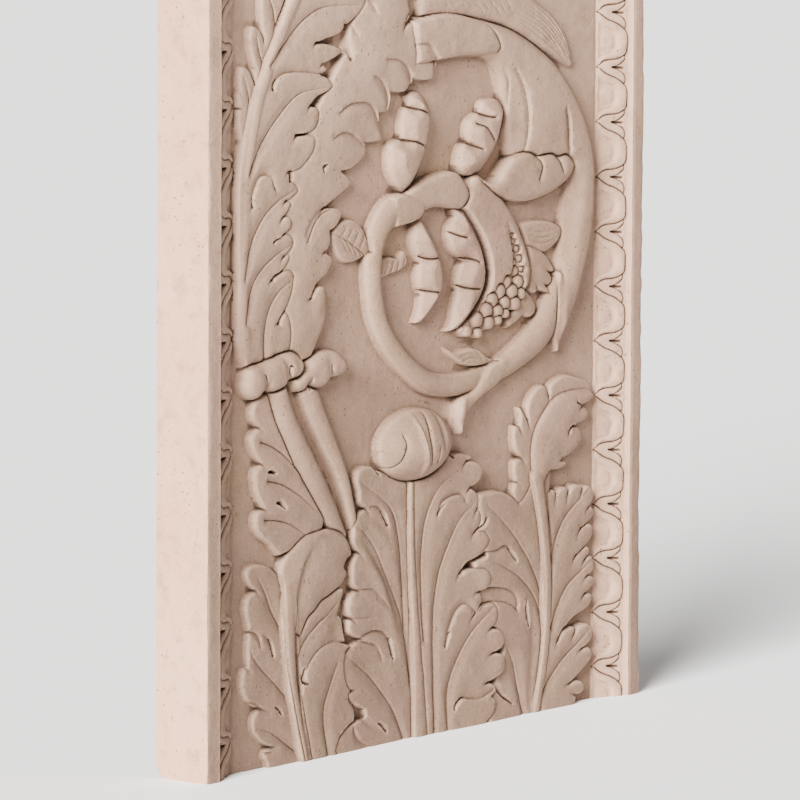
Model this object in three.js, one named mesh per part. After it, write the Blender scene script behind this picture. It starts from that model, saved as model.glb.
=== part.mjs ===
import * as THREE from "three";

// Relief panel of a pilaster: a flat slab of pale stone, carved in low relief
// with leaves and a leafy scroll between two leaf-and-dart mouldings.
// Millimetres. X to the right along the front, +Y to the back, +Z up.

// ---- driving dimensions ----
const WIDTH = 617;          // outer width of the panel
const HEIGHT = 700;         // fourteen leaves of the border, cut square at top and bottom
const THICK = 58;           // frame front to flat back
const SINK = 17.5;          // carved ground below the frame front
const BAND = 17;            // plain flat band along each long edge
const MOULD = 33;           // width of the moulding from band to ground
const FILLET = 0.6;         // small step of the moulding at the ground
const PITCH = 50;           // one leaf and one dart of the moulding
const FIRST_DART = 29;      // height of the lowest dart above the underside
const BACK_ROUND = 15;      // rounding of the lower back edge
const CELL = 1.0;           // spacing at which the carved surface is worked out
const FACES = 9000;         // facets spent on the carved front
const STONE = 0xd9c6b6;

// ---- the carved surface: height above the ground on a square grid ----
const NX = Math.round(WIDTH / CELL) + 1, NZ = Math.round(HEIGHT / CELL) + 1;
const CX = WIDTH / (NX - 1), CZ = HEIGHT / (NZ - 1);
const field = new Float32Array(NX * NZ);

const spline = (a, b, c, d, u) =>
  0.5 * (2 * b + (c - a) * u + (2 * a - 5 * b + 4 * c - d) * u * u + (3 * b - a - 3 * c + d) * u * u * u);

// value of a list along 0..1, smooth through its entries
function along(list, t) {
  const n = list.length - 1;
  if (n < 1) return list[0];
  const f = Math.min(Math.max(t, 0), 1) * n, i = Math.min(Math.floor(f), n - 1);
  return spline(list[Math.max(i - 1, 0)], list[i], list[i + 1], list[Math.min(i + 2, n)], f - i);
}

// smooth curve through a few points, each entry x, z, share of the way
function curve(p, step) {
  const xs = p.map((q) => q[0]), zs = p.map((q) => q[1]);
  let rough = 0;
  for (let i = 0; i + 1 < p.length; i++) rough += Math.hypot(xs[i + 1] - xs[i], zs[i + 1] - zs[i]);
  const m = Math.max(6, Math.ceil(rough / step)), out = [];
  for (let j = 0; j <= m; j++) out.push([along(xs, j / m), along(zs, j / m), j / m]);
  return out;
}

// closed outline, smooth between the points marked as corners
function outline(p, step) {
  const n = p.length, first = Math.max(0, p.findIndex((q) => q[2])), out = [];
  let run = [p[first]];
  for (let k = 1; k <= n; k++) {
    const q = p[(first + k) % n];
    run.push(q);
    if (q[2] || k === n) {
      const c = curve(run, step);
      for (let i = 0; i + 1 < c.length; i++) out.push(c[i]);
      run = [q];
    }
  }
  return out;
}

// nearest place on a curve: share of the way, distance (left positive)
const found = [0, 0];
function nearest(c, x, z) {
  let best = 1e18, at = 0, share = 0, side = 1;
  for (let i = 0; i + 1 < c.length; i++) {
    const ax = c[i][0], az = c[i][1], dx = c[i + 1][0] - ax, dz = c[i + 1][1] - az;
    const u = Math.min(1, Math.max(0, ((x - ax) * dx + (z - az) * dz) / (dx * dx + dz * dz)));
    const ex = x - ax - u * dx, ez = z - az - u * dz, q = ex * ex + ez * ez;
    if (q < best) { best = q; at = i; share = u; side = dx * ez - dz * ex >= 0 ? 1 : -1; }
  }
  found[0] = c[at][2] + share * (c[at + 1][2] - c[at][2]);
  found[1] = side * Math.sqrt(best);
  return found;
}

function span(c, reach) {
  let lx = 1e9, hx = -1e9, lz = 1e9, hz = -1e9;
  for (const q of c) {
    lx = Math.min(lx, q[0]); hx = Math.max(hx, q[0]);
    lz = Math.min(lz, q[1]); hz = Math.max(hz, q[1]);
  }
  return [Math.max(0, Math.floor((lx - reach) / CX)), Math.min(NX - 1, Math.ceil((hx + reach) / CX)),
          Math.max(0, Math.floor((lz - reach) / CZ)), Math.min(NZ - 1, Math.ceil((hz + reach) / CZ))];
}

const ease = (v) => (v <= 0 ? 0 : v >= 1 ? 1 : v * v * (3 - 2 * v));

// lay a surface of height top, di inside its edge, with a small sunk line round it
function lay(id, di, top, moat, over) {
  const h0 = field[id];
  if (di > -CELL) {
    const m = Math.min(1, Math.max(0, di / CELL + 0.5));
    const inside = over ? Math.max(h0, top) : top;
    const outside = over ? h0 : Math.min(h0, Math.max(h0 - moat, -0.3));
    field[id] = outside + (inside - outside) * m;
  } else if (!over && di > -3) {
    const q = 1 + di / 3;
    field[id] = Math.min(h0, Math.max(h0 - moat * q * q, -0.3));
  }
}

// a leaf blade or any flat-backed piece inside an outline
function blade(h, p, o = {}) {
  const c = outline(p, 2.5), n = c.length, [i0, i1, j0, j1] = span(c, 4);
  const { er = 2.6, ed = 1.7, m = 0.8, dome = 1.2, dw = 9, sl = 0, on = null, b = [] } = o;
  const middle = c.reduce((s, q) => s + q[0], 0) / n;
  for (let j = j0; j <= j1; j++) {
    const z = j * CZ;
    for (let i = i0; i <= i1; i++) {
      const x = i * CX;
      let best = 1e18, inside = false;
      for (let a = n - 1, k = 0; k < n; a = k++) {
        const ax = c[a][0], az = c[a][1], dx = c[k][0] - ax, dz = c[k][1] - az;
        if (az > z !== c[k][1] > z && x < (dx * (z - az)) / dz + ax) inside = !inside;
        const u = Math.min(1, Math.max(0, ((x - ax) * dx + (z - az) * dz) / (dx * dx + dz * dz)));
        const ex = x - ax - u * dx, ez = z - az - u * dz, q = ex * ex + ez * ez;
        if (q < best) best = q;
      }
      const di = (inside ? 1 : -1) * Math.sqrt(best);
      if (di < -3) continue;
      const q = Math.max(0, 1 - Math.max(0, di) / er);
      let top = h + dome * (1 - Math.exp(-Math.max(0, di) / dw)) - ed * (o.lin ? q : q * q * q) + sl * (x - middle);
      if (on) top += on(x);
      for (const [bx, bz, dh, R] of b) top += dh * Math.exp(-((x - bx) ** 2 + (z - bz) ** 2) / (R * R));
      lay(j * NX + i, di, top, m, o.mx);
    }
  }
  if (o.to) notches(p, o.to, o.cl ?? 14);
}

// folds running in from the notches between the teeth of a leaf
function notches(p, to, length) {
  p.forEach((q, k) => {
    if (q[2] !== 1) return;
    const a = p[(k + p.length - 1) % p.length], b = p[(k + 1) % p.length];
    const tx = to[0] - q[0], tz = to[1] - q[1], tl = Math.hypot(tx, tz) || 1;
    let ix = q[0] - (a[0] + b[0]) / 2, iz = q[1] - (a[1] + b[1]) / 2;
    const il = Math.hypot(ix, iz) || 1;
    ix = ix / il + (0.8 * tx) / tl; iz = iz / il + (0.8 * tz) / tl;
    const l = Math.hypot(ix, iz), s = length;
    ix /= l; iz /= l;
    cut([3.2, 1.3, 0.1], [2.2, 3, 4], [[q[0] - ix, q[1] - iz], [q[0] + ix * s * 0.5, q[1] + iz * s * 0.5],
      [q[0] + 0.6 * ix * s + (0.4 * tx * s) / tl, q[1] + 0.6 * iz * s + (0.4 * tz * s) / tl]]);
  });
}

// a line sunk in the surface: depth and reach along it
function cut(d, w, p, o = {}) {
  const c = curve(p, 2), v = o.v ?? w, lo = o.lo ?? -0.3;
  const reach = Math.max(...w, ...v) * (o.soft ? 2.2 : 1) + 0.5, [i0, i1, j0, j1] = span(c, reach);
  for (let j = j0; j <= j1; j++)
    for (let i = i0; i <= i1; i++) {
      const [t, e] = nearest(c, i * CX, j * CZ), a = Math.abs(e);
      if (a > reach) continue;
      const u = a / Math.max(0.35, along(e >= 0 ? w : v, t));
      const g = o.soft ? Math.exp(-u * u) : u >= 1 ? 0 : o.flat ? ease((1 - u) / 0.6) : (1 - u) * (1 - u) * (1 + 0.6 * u);
      if (!g) continue;
      const id = j * NX + i, h0 = field[id], depth = along(d, t) * g;
      field[id] = depth > 0 ? Math.min(h0, Math.max(h0 - depth, lo)) : h0 - depth;
    }
}

// a rounded stem along a line
function stem(r, h, p, o = {}) {
  const c = curve(p, 2.5), reach = Math.max(...r) + 4, [i0, i1, j0, j1] = span(c, reach);
  const n = o.q ?? 2.2, foot = o.bb ?? 0;
  for (let j = j0; j <= j1; j++)
    for (let i = i0; i <= i1; i++) {
      const [t, e] = nearest(c, i * CX, j * CZ), a = Math.abs(e);
      if (a > reach) continue;
      const rad = Math.max(along(r, t), 0.4), v = Math.min(1, a / rad);
      const top = foot + (along(h, t) - foot) * Math.pow(Math.max(0, 1 - Math.pow(v, n)), 1 / n);
      lay(j * NX + i, rad - a, top, o.m ?? 1.5, o.mx);
    }
}

// a rounded boss
function boss(at, ra, rb, h, o = {}) {
  const q = ((o.q ?? 0) * Math.PI) / 180, co = Math.cos(q), si = Math.sin(q), n = o.n ?? 2;
  const [i0, i1, j0, j1] = span([at], Math.max(ra, rb) + 4), foot = o.b ?? 0;
  for (let j = j0; j <= j1; j++)
    for (let i = i0; i <= i1; i++) {
      const dx = i * CX - at[0], dz = j * CZ - at[1];
      const u = Math.abs(dx * co + dz * si) / ra, v = Math.abs(-dx * si + dz * co) / rb;
      const rho = Math.pow(Math.pow(u, n) + Math.pow(v, n), 1 / n), di = (1 - rho) * Math.min(ra, rb);
      if (di < -3) continue;
      const top = foot + (h - foot) * Math.sqrt(Math.max(0, 1 - Math.pow(Math.min(1, rho), o.pw ?? 2.4)));
      lay(j * NX + i, di, top, o.m ?? 1.2, o.mx);
    }
}

// ---- the carver's vocabulary ----
const F = blade, S = stem, G = cut, O = boss;
// a vein: a broad shallow valley
const V = (p, o = {}) => G([(o.d ?? 2.2) + 0.6, (o.d ?? 2.2) + 0.6, 0.9], [3, 6, 7, 5], p, { soft: 1 });
// a rim standing over what lies on its left, or on its right
const R = (p, d = 3, w = 9) => G([d * 0.5, d, d, d * 0.7], [w * 0.5, w, w, w * 0.6], p, { v: [0.8] });
const Rr = (p, d = 3, w = 9) => G([d * 0.5, d, d, d * 0.7], [0.8], p, { v: [w * 0.5, w, w, w * 0.6] });
// an eye: a deep drop-shaped hole between two lobes
const E = (p, w = [1.2, 2.6, 2.8, 1.6], d = [3, 7, 8, 8]) => G(d, w, p, { flat: 1, lo: 1 });
// a plump pod in segments
const POD = (p, folds, o = {}) => {
  F(13.5, p, { dome: 2, dw: 6, er: 12, ed: 8, lin: 1, m: 1.5, sl: -0.08, ...o });
  for (const c of folds) G([5, 5, 4], [3, 3.5, 3], c);
};

// ---- the carving, back to front; points are x, z from the lower left corner ----
// leaf C (behind stem 1)
F(7.5, [[165, 195, 2], [108, 185, 2], [98, 195], [84, 204], [76, 215], [78, 226], [88, 228, 1], [80, 240], [76, 250], [76, 262], [84, 268, 1], [74, 280], [70, 292], [80, 300, 1], [72, 310], [75, 322], [95, 330, 2], [120, 302], [148, 260], [172, 215, 2]], { to: [150.5, 205], cl: 10 });
V([[84, 287], [102, 280], [120, 269], [138, 253], [152, 238]]);
V([[93, 252], [115, 246], [138, 234], [162, 217]]);
V([[90, 218], [110, 215], [128, 209], [150.5, 196]]);
E([[92, 260], [97, 260], [103, 258]], [1.2, 2, 1.2], [3, 7, 8, 8]);
E([[104, 232], [110, 231], [116, 226]], [1.2, 2.4, 1.2], [3, 7, 8, 8]);
// stems
S([13, 13, 12.5, 12, 11, 10], [12, 13, 13, 12, 10.5, 9], [[102, 339], [116, 306], [137, 275], [159, 245], [177, 220.5], [194, 192]], { q: 2.3 });
S([12, 11.5, 10, 8, 6.5, 5], [11, 11.5, 11.5, 10.5, 9.5, 8], [[144.5, 335.5], [158.5, 308.5], [177.5, 277], [195, 248.5], [205, 225.5], [214, 200]], { q: 2.3 });
// leaf D, left
F(4.8, [[154.5, -9, 2], [99.5, -9, 2], [95.5, 5], [91.5, 10], [93.5, 16], [103.5, 17, 1], [89.5, 23], [80, 31.5], [76, 39.5], [77, 47.5], [84.5, 53.5, 1], [71, 59.5], [63, 67.5], [60, 79.5], [63, 91.5, 1], [69, 94.5], [69, 109.5], [70, 122.5, 1], [69, 129.5], [65, 140.5], [66, 150.5], [72, 155.5], [79, 157.5, 1], [72, 162.5], [67, 169.5], [67, 176.5], [74, 180.5], [85.5, 180.5], [98.5, 176.5], [111.5, 167.5, 2], [122, 149], [129, 99], [137, 49]], { to: [144, 19], cl: 10, sl: -0.012, b: [[74, 144, 1.5, 14], [76, 104, 1.5, 14], [68, 77, 1.5, 12]] });
V([[120.5, 110], [111.5, 124.5], [101, 139.5], [91, 157.5], [81, 170.5]]);
V([[131, 51], [113.5, 67.5], [93, 84.5], [76.5, 99.5], [70, 112.5]]);
V([[149.5, 1], [128.5, 14], [113.5, 24], [98.5, 31.5], [81.5, 36]]);
R([[86, 107.5], [84, 116.5], [77.5, 121.5], [69, 123]], 3, 8);
Rr([[88.5, 118.5], [96.5, 113.5], [101, 107.5], [103, 99.5]], 2, 8);
E([[97, 113.5], [101, 107.5], [103, 98.5]], [0.8, 1.5, 2.2], [3, 7, 8, 8]);
R([[99.5, 48.5], [89.5, 53], [78, 59.5], [65, 61.5]], 2.5, 7);
E([[105.5, 52.5], [110.5, 49.5], [114.5, 45.5]], [0.8, 1.3, 1.9], [3, 7, 8, 8]);
R([[72.5, 87.5], [67.5, 91.5], [64.5, 94]], 2, 6);
Rr([[91.5, 15.5], [94, 14], [102, 13]], 2, 5);
// leaf D, right
F(8, [[139.5, 60, 2], [132.5, 130], [149.5, 136], [165.5, 141], [189.5, 147, 1], [196.5, 146], [193.5, 134], [190.5, 124, 1], [197.5, 118], [201.5, 98, 2], [169.5, 94], [144.5, 66]], { b: [[190, 110, -3.5, 14]] });
V([[134, 85.5], [139, 98], [149.5, 110], [164.5, 120], [175.5, 125], [190, 135]], { d: 1.5 });
F(8.5, [[145, -7.5, 2], [139, 40.5], [138, 60.5], [141, 71.5, 1], [145, 80.5], [153, 89.5], [163, 96.5], [175, 99.5], [189, 99.5], [205, 95.5, 2], [214, 40.5], [209, -7.5, 2]], { b: [[157.5, 75, 1.5, 14], [199.5, 40, -2, 22]] });
V([[178.5, -5.5], [171, 35.5], [179.5, 62.5], [189.5, 82.5]], { d: 2.5 });
E([[147.5, 67.5], [142.5, 69.5], [141, 75], [143.5, 82.5]], [1, 2, 2.6, 1], [3, 7, 8, 8]);
// top lobe
F(8.5, [[121, 120.5, 2], [117, 150], [111, 164], [112, 176], [121, 186], [135, 195], [149, 200], [169, 202], [185, 200], [198, 194], [206, 184], [208, 175], [202, 171], [198, 166, 1], [202, 160], [199, 154], [191, 148], [177, 142], [166, 138.5], [157, 131.5], [147, 124.5], [139, 110.5, 2]], { dome: 4.5, dw: 12, ed: 3.5, er: 5, b: [[121.5, 175, -1.5, 14]] });
G([1.5, 2.6, 2.6, 0.6], [2, 2.5, 3, 4], [[135, 112], [132, 146], [141, 173], [160.5, 192.5]], { soft: 1, v: [8, 12, 14, 10] });
E([[212.5, 164.5], [199, 167]], [1.5, 1], [3, 7, 8, 8]);
S([5, 5.5, 6, 7.5, 9], [10, 10.5, 11, 11.5, 10.5], [[146.5, -7.5], [135, 30.5], [124.5, 76], [120.5, 119], [123, 158.5]], { q: 2.6, mx: 1, bb: 7 });
G([1.8], [1.6], [[113.5, 152.5], [114.5, 120.5], [117.5, 90.5], [125, 60.5], [133.5, 30.5], [143, 0.5]]);
G([1.8], [1.6], [[130, 150.5], [130, 120.5], [135, 90], [139, 60], [146, 30], [154, 0]]);
// leaf F: back layer
F(6.2, [[485.5, 99.5, 2], [441.5, 204.5, 2], [444.5, 213.5, 1], [442.5, 223.5], [443.5, 232.5], [452.5, 234.5, 1], [444.5, 242.5], [441.5, 253.5], [442.5, 264.5], [450.5, 262.5, 1], [451.5, 271.5], [450.5, 280.5], [462.5, 267.5, 1], [461.5, 277.5], [465.5, 287.5], [475.5, 295.5], [485.5, 297.5], [492.5, 289.5, 1], [496.5, 296.5], [506.5, 301.5], [519.5, 303.5], [533.5, 300.5], [546.5, 296.5], [555.5, 290.5], [561.5, 280.5, 2], [501.5, 249.5], [496.5, 149.5]], { to: [482.5, 189.5], cl: 12 });
E([[452, 280.5], [457.5, 274.5], [463.5, 267.5]], [1, 1.5, 1.2], [5, 6, 5]);
E([[492.5, 295.5], [493, 286.5]], [1, 1.6], [5, 6]);
// shadowed gap
F(5, [[383, 91.5, 2], [383, 127.5, 2], [451, 121.5, 2], [459.5, 107.5], [455, 91.5, 2]], { er: 1, ed: 0.5 });
// left lobes and the lobe under the gap
F(8, [[490.5, 59.5, 2], [486, 29.5], [478, -8.5, 2], [402, -7.5, 2], [419, 40], [427.5, 70], [410.5, 86.5], [382, 100.5, 2], [382, 105.5, 2], [398, 108], [413.5, 108], [429.5, 105.5], [440, 101.5], [447.5, 96, 1], [449.5, 103], [446, 111], [435.5, 117], [419, 121], [398, 123.5], [382, 124.5, 2], [382, 156.5, 2], [382, 180.5], [382, 208.5, 2], [410.5, 209.5], [427.5, 206], [440, 200], [449.5, 193, 1], [458, 199], [465, 208], [471.5, 216.5, 2], [486, 149.5]], { m: 1, sl: -0.04, b: [[420, 30, -2.5, 22]] });
V([[489.5, 75.5], [484, 109.5], [468.5, 136], [445.5, 162], [422.5, 181.5], [399.5, 197.5]]);
V([[489.5, 59.5], [485, 87.5], [471, 110], [450, 127], [422.5, 140.5], [405.5, 145.5]]);
V([[460, -5.5], [450.5, 25], [442, 50], [428, 70]], { d: 2.6 });
R([[443.5, 143], [437, 152], [426.5, 158.5], [411.5, 155.5], [395.5, 156.5]], 2.5, 8);
E([[432, 155], [436, 150], [440.5, 146], [444.5, 142]], [0.8, 1.8, 1.8, 1.4], [3, 7, 8, 8]);
E([[461, 105], [460, 98], [461.5, 89], [464.5, 80]], [0.8, 2.2, 2.8, 1.4], [3, 7, 8, 8]);
E([[415.5, 31.5], [426, 21], [440, 12]], [2, 2, 0.8], [6, 5, 2]);
G([0.8, 1.5, 1.5], [5, 6, 6], [[469, 95], [471, 60], [467, 10]], { soft: 1 });
// right lobes
F(8.5, [[480.5, -8, 2], [494, 60], [498, 120], [494, 170], [491.5, 198, 2], [500, 201], [503, 195, 1], [509.5, 201], [519.5, 201], [520.5, 195, 1], [529, 202], [539.5, 201], [541.5, 196.5, 1], [548.5, 199.5], [555, 196.5], [557, 188.5], [551, 180.5, 1], [558, 176.5], [556, 169.5], [539.5, 160.5, 1], [551, 164.5], [557, 159.5], [554, 150.5], [532, 136, 1], [543.5, 142.5], [550, 143.5], [552, 137.5], [546.5, 132.5, 1], [555, 134.5], [559, 127.5], [557, 120.5], [549.5, 116.5, 1], [558, 114.5], [558, 107.5], [545.5, 99.5, 1], [555, 99.5], [556, 92.5], [548.5, 86.5], [527, 79], [507.5, 63, 1], [513.5, 69], [523, 71], [531, 72], [532, 66, 1], [539.5, 71.5], [550, 72.5], [557, 66.5], [555, 57.5], [542.5, 49.5, 1], [552, 50.5], [557, 45.5], [554, 37.5], [526, 20, 1], [537.5, 21.5], [545.5, 17.5], [545.5, 10.5], [535, 7.5, 1], [533, 0], [529, -8, 2]], { to: [489.5, 20], cl: 12, sl: 0.025, b: [[549.5, 185, 1.2, 12], [549.5, 122, 1.2, 12], [549.5, 62, 1.2, 12]] });
V([[499, 135], [503.5, 152], [514, 170], [528.5, 182.5], [552.5, 196.5]]);
V([[498, 74], [507.5, 92], [520.5, 109.5], [537.5, 120.5], [555, 130.5]]);
V([[486.5, 16], [499.5, 30], [515, 43], [534, 54.5], [553, 67.5]]);
E([[517.5, 73], [512, 69], [508, 62]], [1.4, 1.8, 1.8], [3, 7, 8, 8]);
E([[534.5, 7], [539.5, 8]], [1.5, 1], [3, 7, 8, 8]);
// curled top lobe
F(9, [[484, 130.5, 2], [478, 185.5], [469, 212.5], [466, 235.5], [468, 250.5], [476, 264.5], [488, 276.5], [503, 285.5], [520, 288.5], [538, 288.5], [553, 286.5], [559, 281.5], [554, 276.5], [541, 273.5, 1], [548, 270.5], [550, 264.5], [545, 259.5], [532, 256.5, 1], [538, 252.5], [540, 245.5], [536, 238.5], [526, 231.5], [512, 227.5, 1], [517, 225.5], [516, 220.5], [506, 218.5], [494, 218.5], [487, 213.5], [484, 205.5], [487, 196.5], [493, 165.5, 2]], { dome: 4.5, dw: 12, ed: 3.5, er: 5, to: [488.5, 220], cl: 12 });
E([[529, 278], [534, 275.5], [540.5, 273.5]], [1.4, 0.8, 0.8], [5, 3, 3]);
E([[515.5, 251], [519, 255], [525, 256.5], [533.5, 255.5]], [2.2, 2, 1.2, 1], [3, 7, 8, 8]);
// rib of leaf F
S([4.8, 4.8, 5.5, 6, 8], [9.5, 10, 10.5, 11, 12], [[472, -7.5], [486.5, 50.5], [489.5, 105.5], [485, 160.5], [472, 215]], { q: 2.6, mx: 1, bb: 7.5 });
G([1.8], [1.4], [[469.5, -3.5], [481, 50.5], [485.5, 100.5], [481, 150.5], [471, 192.5], [463.5, 216.5]]);
G([1.8], [1.4], [[478.5, -3.5], [490, 45.5], [496.5, 100.5], [498.5, 149.5], [487.5, 198.5]]);
// leaf E, left
F(5.8, [[302, -9, 2], [201.5, -8.5, 2], [187, 2], [191, 13], [201.5, 19.5], [216, 25.5], [230.5, 26.5], [228.5, 34.5, 2], [214, 40.5], [205.5, 49.5], [209.5, 53.5, 1], [203.5, 59.5], [198, 71.5], [198, 83.5], [204.5, 91.5], [216, 95.5], [224, 97.5, 1], [207.5, 104.5], [205.5, 115.5], [209.5, 117.5, 1], [204.5, 123.5], [204.5, 135.5], [215, 142.5, 1], [209.5, 149.5], [208.5, 161.5], [211.5, 171.5], [218, 175.5, 1], [211.5, 183.5], [210.5, 193.5], [214, 203.5], [222, 210.5], [230.5, 212.5, 1], [220, 219.5], [218, 229.5], [214, 237.5], [216, 246.5], [226, 250.5], [238.5, 249.5], [249, 244.5], [261.5, 241.5], [276, 237.5], [292.5, 234, 2], [297, 179], [301, 79]], { to: [288, 59.5], cl: 12, sl: -0.03, b: [[214.5, 194.5, 1.5, 14], [216.5, 234.5, 2, 12], [212.5, 159.5, 1.5, 12], [212.5, 129.5, 1.5, 12], [205.5, 83.5, 1, 12]] });
V([[289.5, 99], [284.5, 139.5], [280, 177.5], [270.5, 204.5], [250, 221.5], [219.5, 238]]);
V([[297.5, 49], [285.5, 104.5], [266.5, 141.5], [245, 175.5], [226, 193], [209.5, 201]]);
G([0.5, 1.8, 1.8, 0.6], [3, 4.5, 4.5, 3], [[283.5, 94.5], [264.5, 134.5], [248, 161.5], [229.5, 181.5], [210, 188]], { soft: 1 });
G([-0.5, -1.6, -1.6, -0.5], [5, 7, 7, 5], [[266.5, 109.5], [252, 141.5], [231, 164], [210.5, 172]], { soft: 1 });
G([0.6, 1.6, 1.6, 0.6], [4, 6, 6, 4], [[279, 33.5], [256, 63.5], [233.5, 73.5], [206, 74]], { soft: 1 });
G([-0.6, -1.5, -1.5, -0.6], [4, 6, 6, 4], [[287.5, 59], [264, 111.5], [241.5, 127.5], [211.5, 130]], { soft: 1 });
G([0.6, 1.6, 1.2], [4, 6, 5], [[264.5, 184.5], [246, 202.5], [223, 209]], { soft: 1 });
V([[288, -1], [270.5, 29.5], [241.5, 59.5], [221.5, 73.5], [203, 84]]);
R([[261, 195.5], [258, 204.5], [248.5, 212.5], [238, 214.5]], 3, 9);
E([[252, 208.5], [256, 203.5], [260, 197.5], [262, 194.5]], [0.8, 1.6, 2.2, 1.6], [3, 7, 8, 8]);
E([[240.5, 247.5], [245.5, 244.5], [249.5, 240.5]], [0.8, 1.6, 1.4], [3, 7, 8, 8]);
R([[267.5, 81.5], [264, 92.5], [255, 100.5], [240, 103.5], [224, 100.5]], 3, 9);
E([[264, 93.5], [265.5, 86.5], [267.5, 79.5], [269.5, 74.5]], [1, 2.2, 2.6, 1.6], [3, 7, 8, 8]);
R([[254.5, 75.5], [249, 86.5], [240, 91.5], [216.5, 96.5], [199, 91]], 2.5, 8);
R([[261.5, 122], [250.5, 133], [237, 141], [215, 142]], 1.8, 7);
R([[241.5, 115.5], [222.5, 117], [206.5, 118]], 1.2, 5);
G([1, 2, 1.5], [2, 3, 2], [[258.5, 9.5], [242, 17.5], [228, 25.5], [207, 45.5]], { soft: 1 });
E([[248, 19.5], [254, 16.5], [260.5, 10.5]], [0.8, 2, 1.6], [3, 7, 8, 8]);
E([[185, 4], [192, 15], [205.5, 23], [218, 26.5], [229, 27.5]], [0.8, 1.4, 1.4, 1.6, 0.6], [3, 5, 5, 5, 3]);
R([[238, -0.5], [225, 5.5], [217, 13], [214.5, 19.5]], 2.5, 8);
// leaf E, right
F(8.5, [[299, -8.5, 2], [294.5, 119.5], [294.5, 231.5, 2], [311.5, 235.5], [329, 243], [345.5, 249], [361.5, 249], [373.5, 246], [377, 243], [369.5, 240, 1], [379, 240], [388.5, 235], [391.5, 229.5], [387.5, 221], [376, 216, 1], [383, 212], [387.5, 205], [386, 196, 1], [390.5, 190.5], [389.5, 182.5], [383, 176, 1], [394.5, 174.5], [401, 168.5], [400, 162.5], [388.5, 153.5], [376, 149], [362.5, 142, 1], [375, 143], [394.5, 141.5], [404, 135.5], [404, 129.5], [398.5, 122.5], [389.5, 120.5, 1], [392.5, 113.5], [388.5, 105.5], [383, 101, 1], [398.5, 107.5], [410, 107.5], [415.5, 101.5], [414.5, 92.5], [407, 85.5, 1], [418.5, 82.5], [424, 74.5], [420.5, 66.5], [409, 62.5, 1], [421.5, 60.5], [425, 51.5], [420.5, 42.5], [403, 36.5, 1], [411.5, 33.5], [413.5, 27.5], [408, 23.5, 2], [413.5, 18.5], [411.5, 8.5], [400, 0.5], [388.5, -7.5, 2]], { to: [329.5, 20], cl: 13, sl: 0.03, b: [[385.5, 232, 1.5, 12], [394.5, 165, 1.5, 12], [397.5, 130, 1.5, 12], [415.5, 75, 1.5, 14], [417.5, 50, 1.5, 12]] });
V([[312.5, 86], [309.5, 130], [309.5, 165], [316, 198], [333.5, 222], [357, 233]]);
V([[328.5, -5.5], [325.5, 90], [331.5, 138], [347, 170], [363.5, 190.5], [380.5, 200.5]]);
V([[347.5, -5.5], [346, 36], [360.5, 64.5], [382.5, 87.5], [411.5, 104.5]]);
Rr([[332.5, 196], [330.5, 203], [341, 210], [360.5, 212], [367.5, 203.5]], 0.01, 1);
R([[330.5, 197], [337.5, 207], [351, 211], [362.5, 211], [367.5, 204.5]], 3, 9);
E([[339, 206], [333.5, 201], [329.5, 197]], [0.8, 1.2, 1.9], [3, 7, 8, 8]);
R([[342, 79], [348, 93], [357.5, 106.5], [370, 111.5], [382.5, 102.5]], 3, 10);
E([[348, 90], [344, 84], [341, 77]], [0.8, 1.5, 2.2], [3, 7, 8, 8]);
R([[355.5, 19.5], [364, 26.5], [378, 24.5], [393.5, 23.5], [409.5, 28.5]], 2.5, 8);
E([[368, 27.5], [361.5, 26.5], [355.5, 22.5], [354.5, 18.5]], [0.6, 1.5, 2, 2], [3, 7, 8, 8]);
E([[397.5, 153.5], [381.5, 149.5], [370, 147], [363, 141]], [3, 2.4, 2.4, 2.2], [7, 7, 8, 8]);
E([[397.5, 185.5], [392.5, 180.5], [384, 176.5]], [2.5, 2, 1], [3, 7, 8, 8]);
// rib of leaf E
F(7.4, [[298.5, -8, 2], [298.5, 40], [296.5, 90], [293, 130], [291, 165], [290, 200], [290, 231, 2], [296.5, 231, 2], [297, 200], [299, 160], [303, 120], [308.5, 75], [314, 30], [318, -8, 2]], { er: 2.5, ed: 1.2, dome: 1.4, dw: 4, m: 1.2 });
// bud
O([297.5, 263], 52, 32.5, 26, { n: 2, pw: 2 });
Rr([[247, 262.5], [248, 254], [251.5, 248], [258, 246.5], [263.5, 250.5], [267, 258], [269, 267], [267, 274.5]], 2.2, 9);
G([1.2, 2, 1.5, 2.5, 3.5, 3.5], [1, 1.2, 1.2, 1.6, 2, 1.6], [[247, 262.5], [248, 254], [251.5, 248], [258, 246.5], [263.5, 250.5], [267, 258], [269, 267], [267, 274.5]]);
G([-1, -2.6, -2.6, -2.6, -1], [3, 4, 4.5, 4.5, 3], [[285, 292], [285.5, 282], [287.5, 270.5], [292, 256.5], [295, 242.5], [297, 233]]);
G([1.5, 3, 3, 2], [1.3, 1.8, 1.8, 1.4], [[302, 292], [300.5, 285], [298.5, 272.5], [300.5, 259], [304, 245.5]], { v: [1.5, 4, 4, 2] });
G([1, 2.2, 2.2, 1], [2, 4, 4, 2], [[318, 290], [319.5, 281], [321, 269], [323, 257]], { soft: 1 });
E([[312.5, 261.5], [312, 255.5], [312, 247.5]], [1, 1.6, 1.6], [2, 4, 4]);
E([[245.5, 243.5], [242.5, 247.5], [239, 251.5]], [1.5, 2, 1], [6, 7, 5]);
E([[350.5, 246.5], [348.5, 249.5], [351.5, 255.5]], [2, 2.2, 1], [6, 6, 4]);
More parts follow.
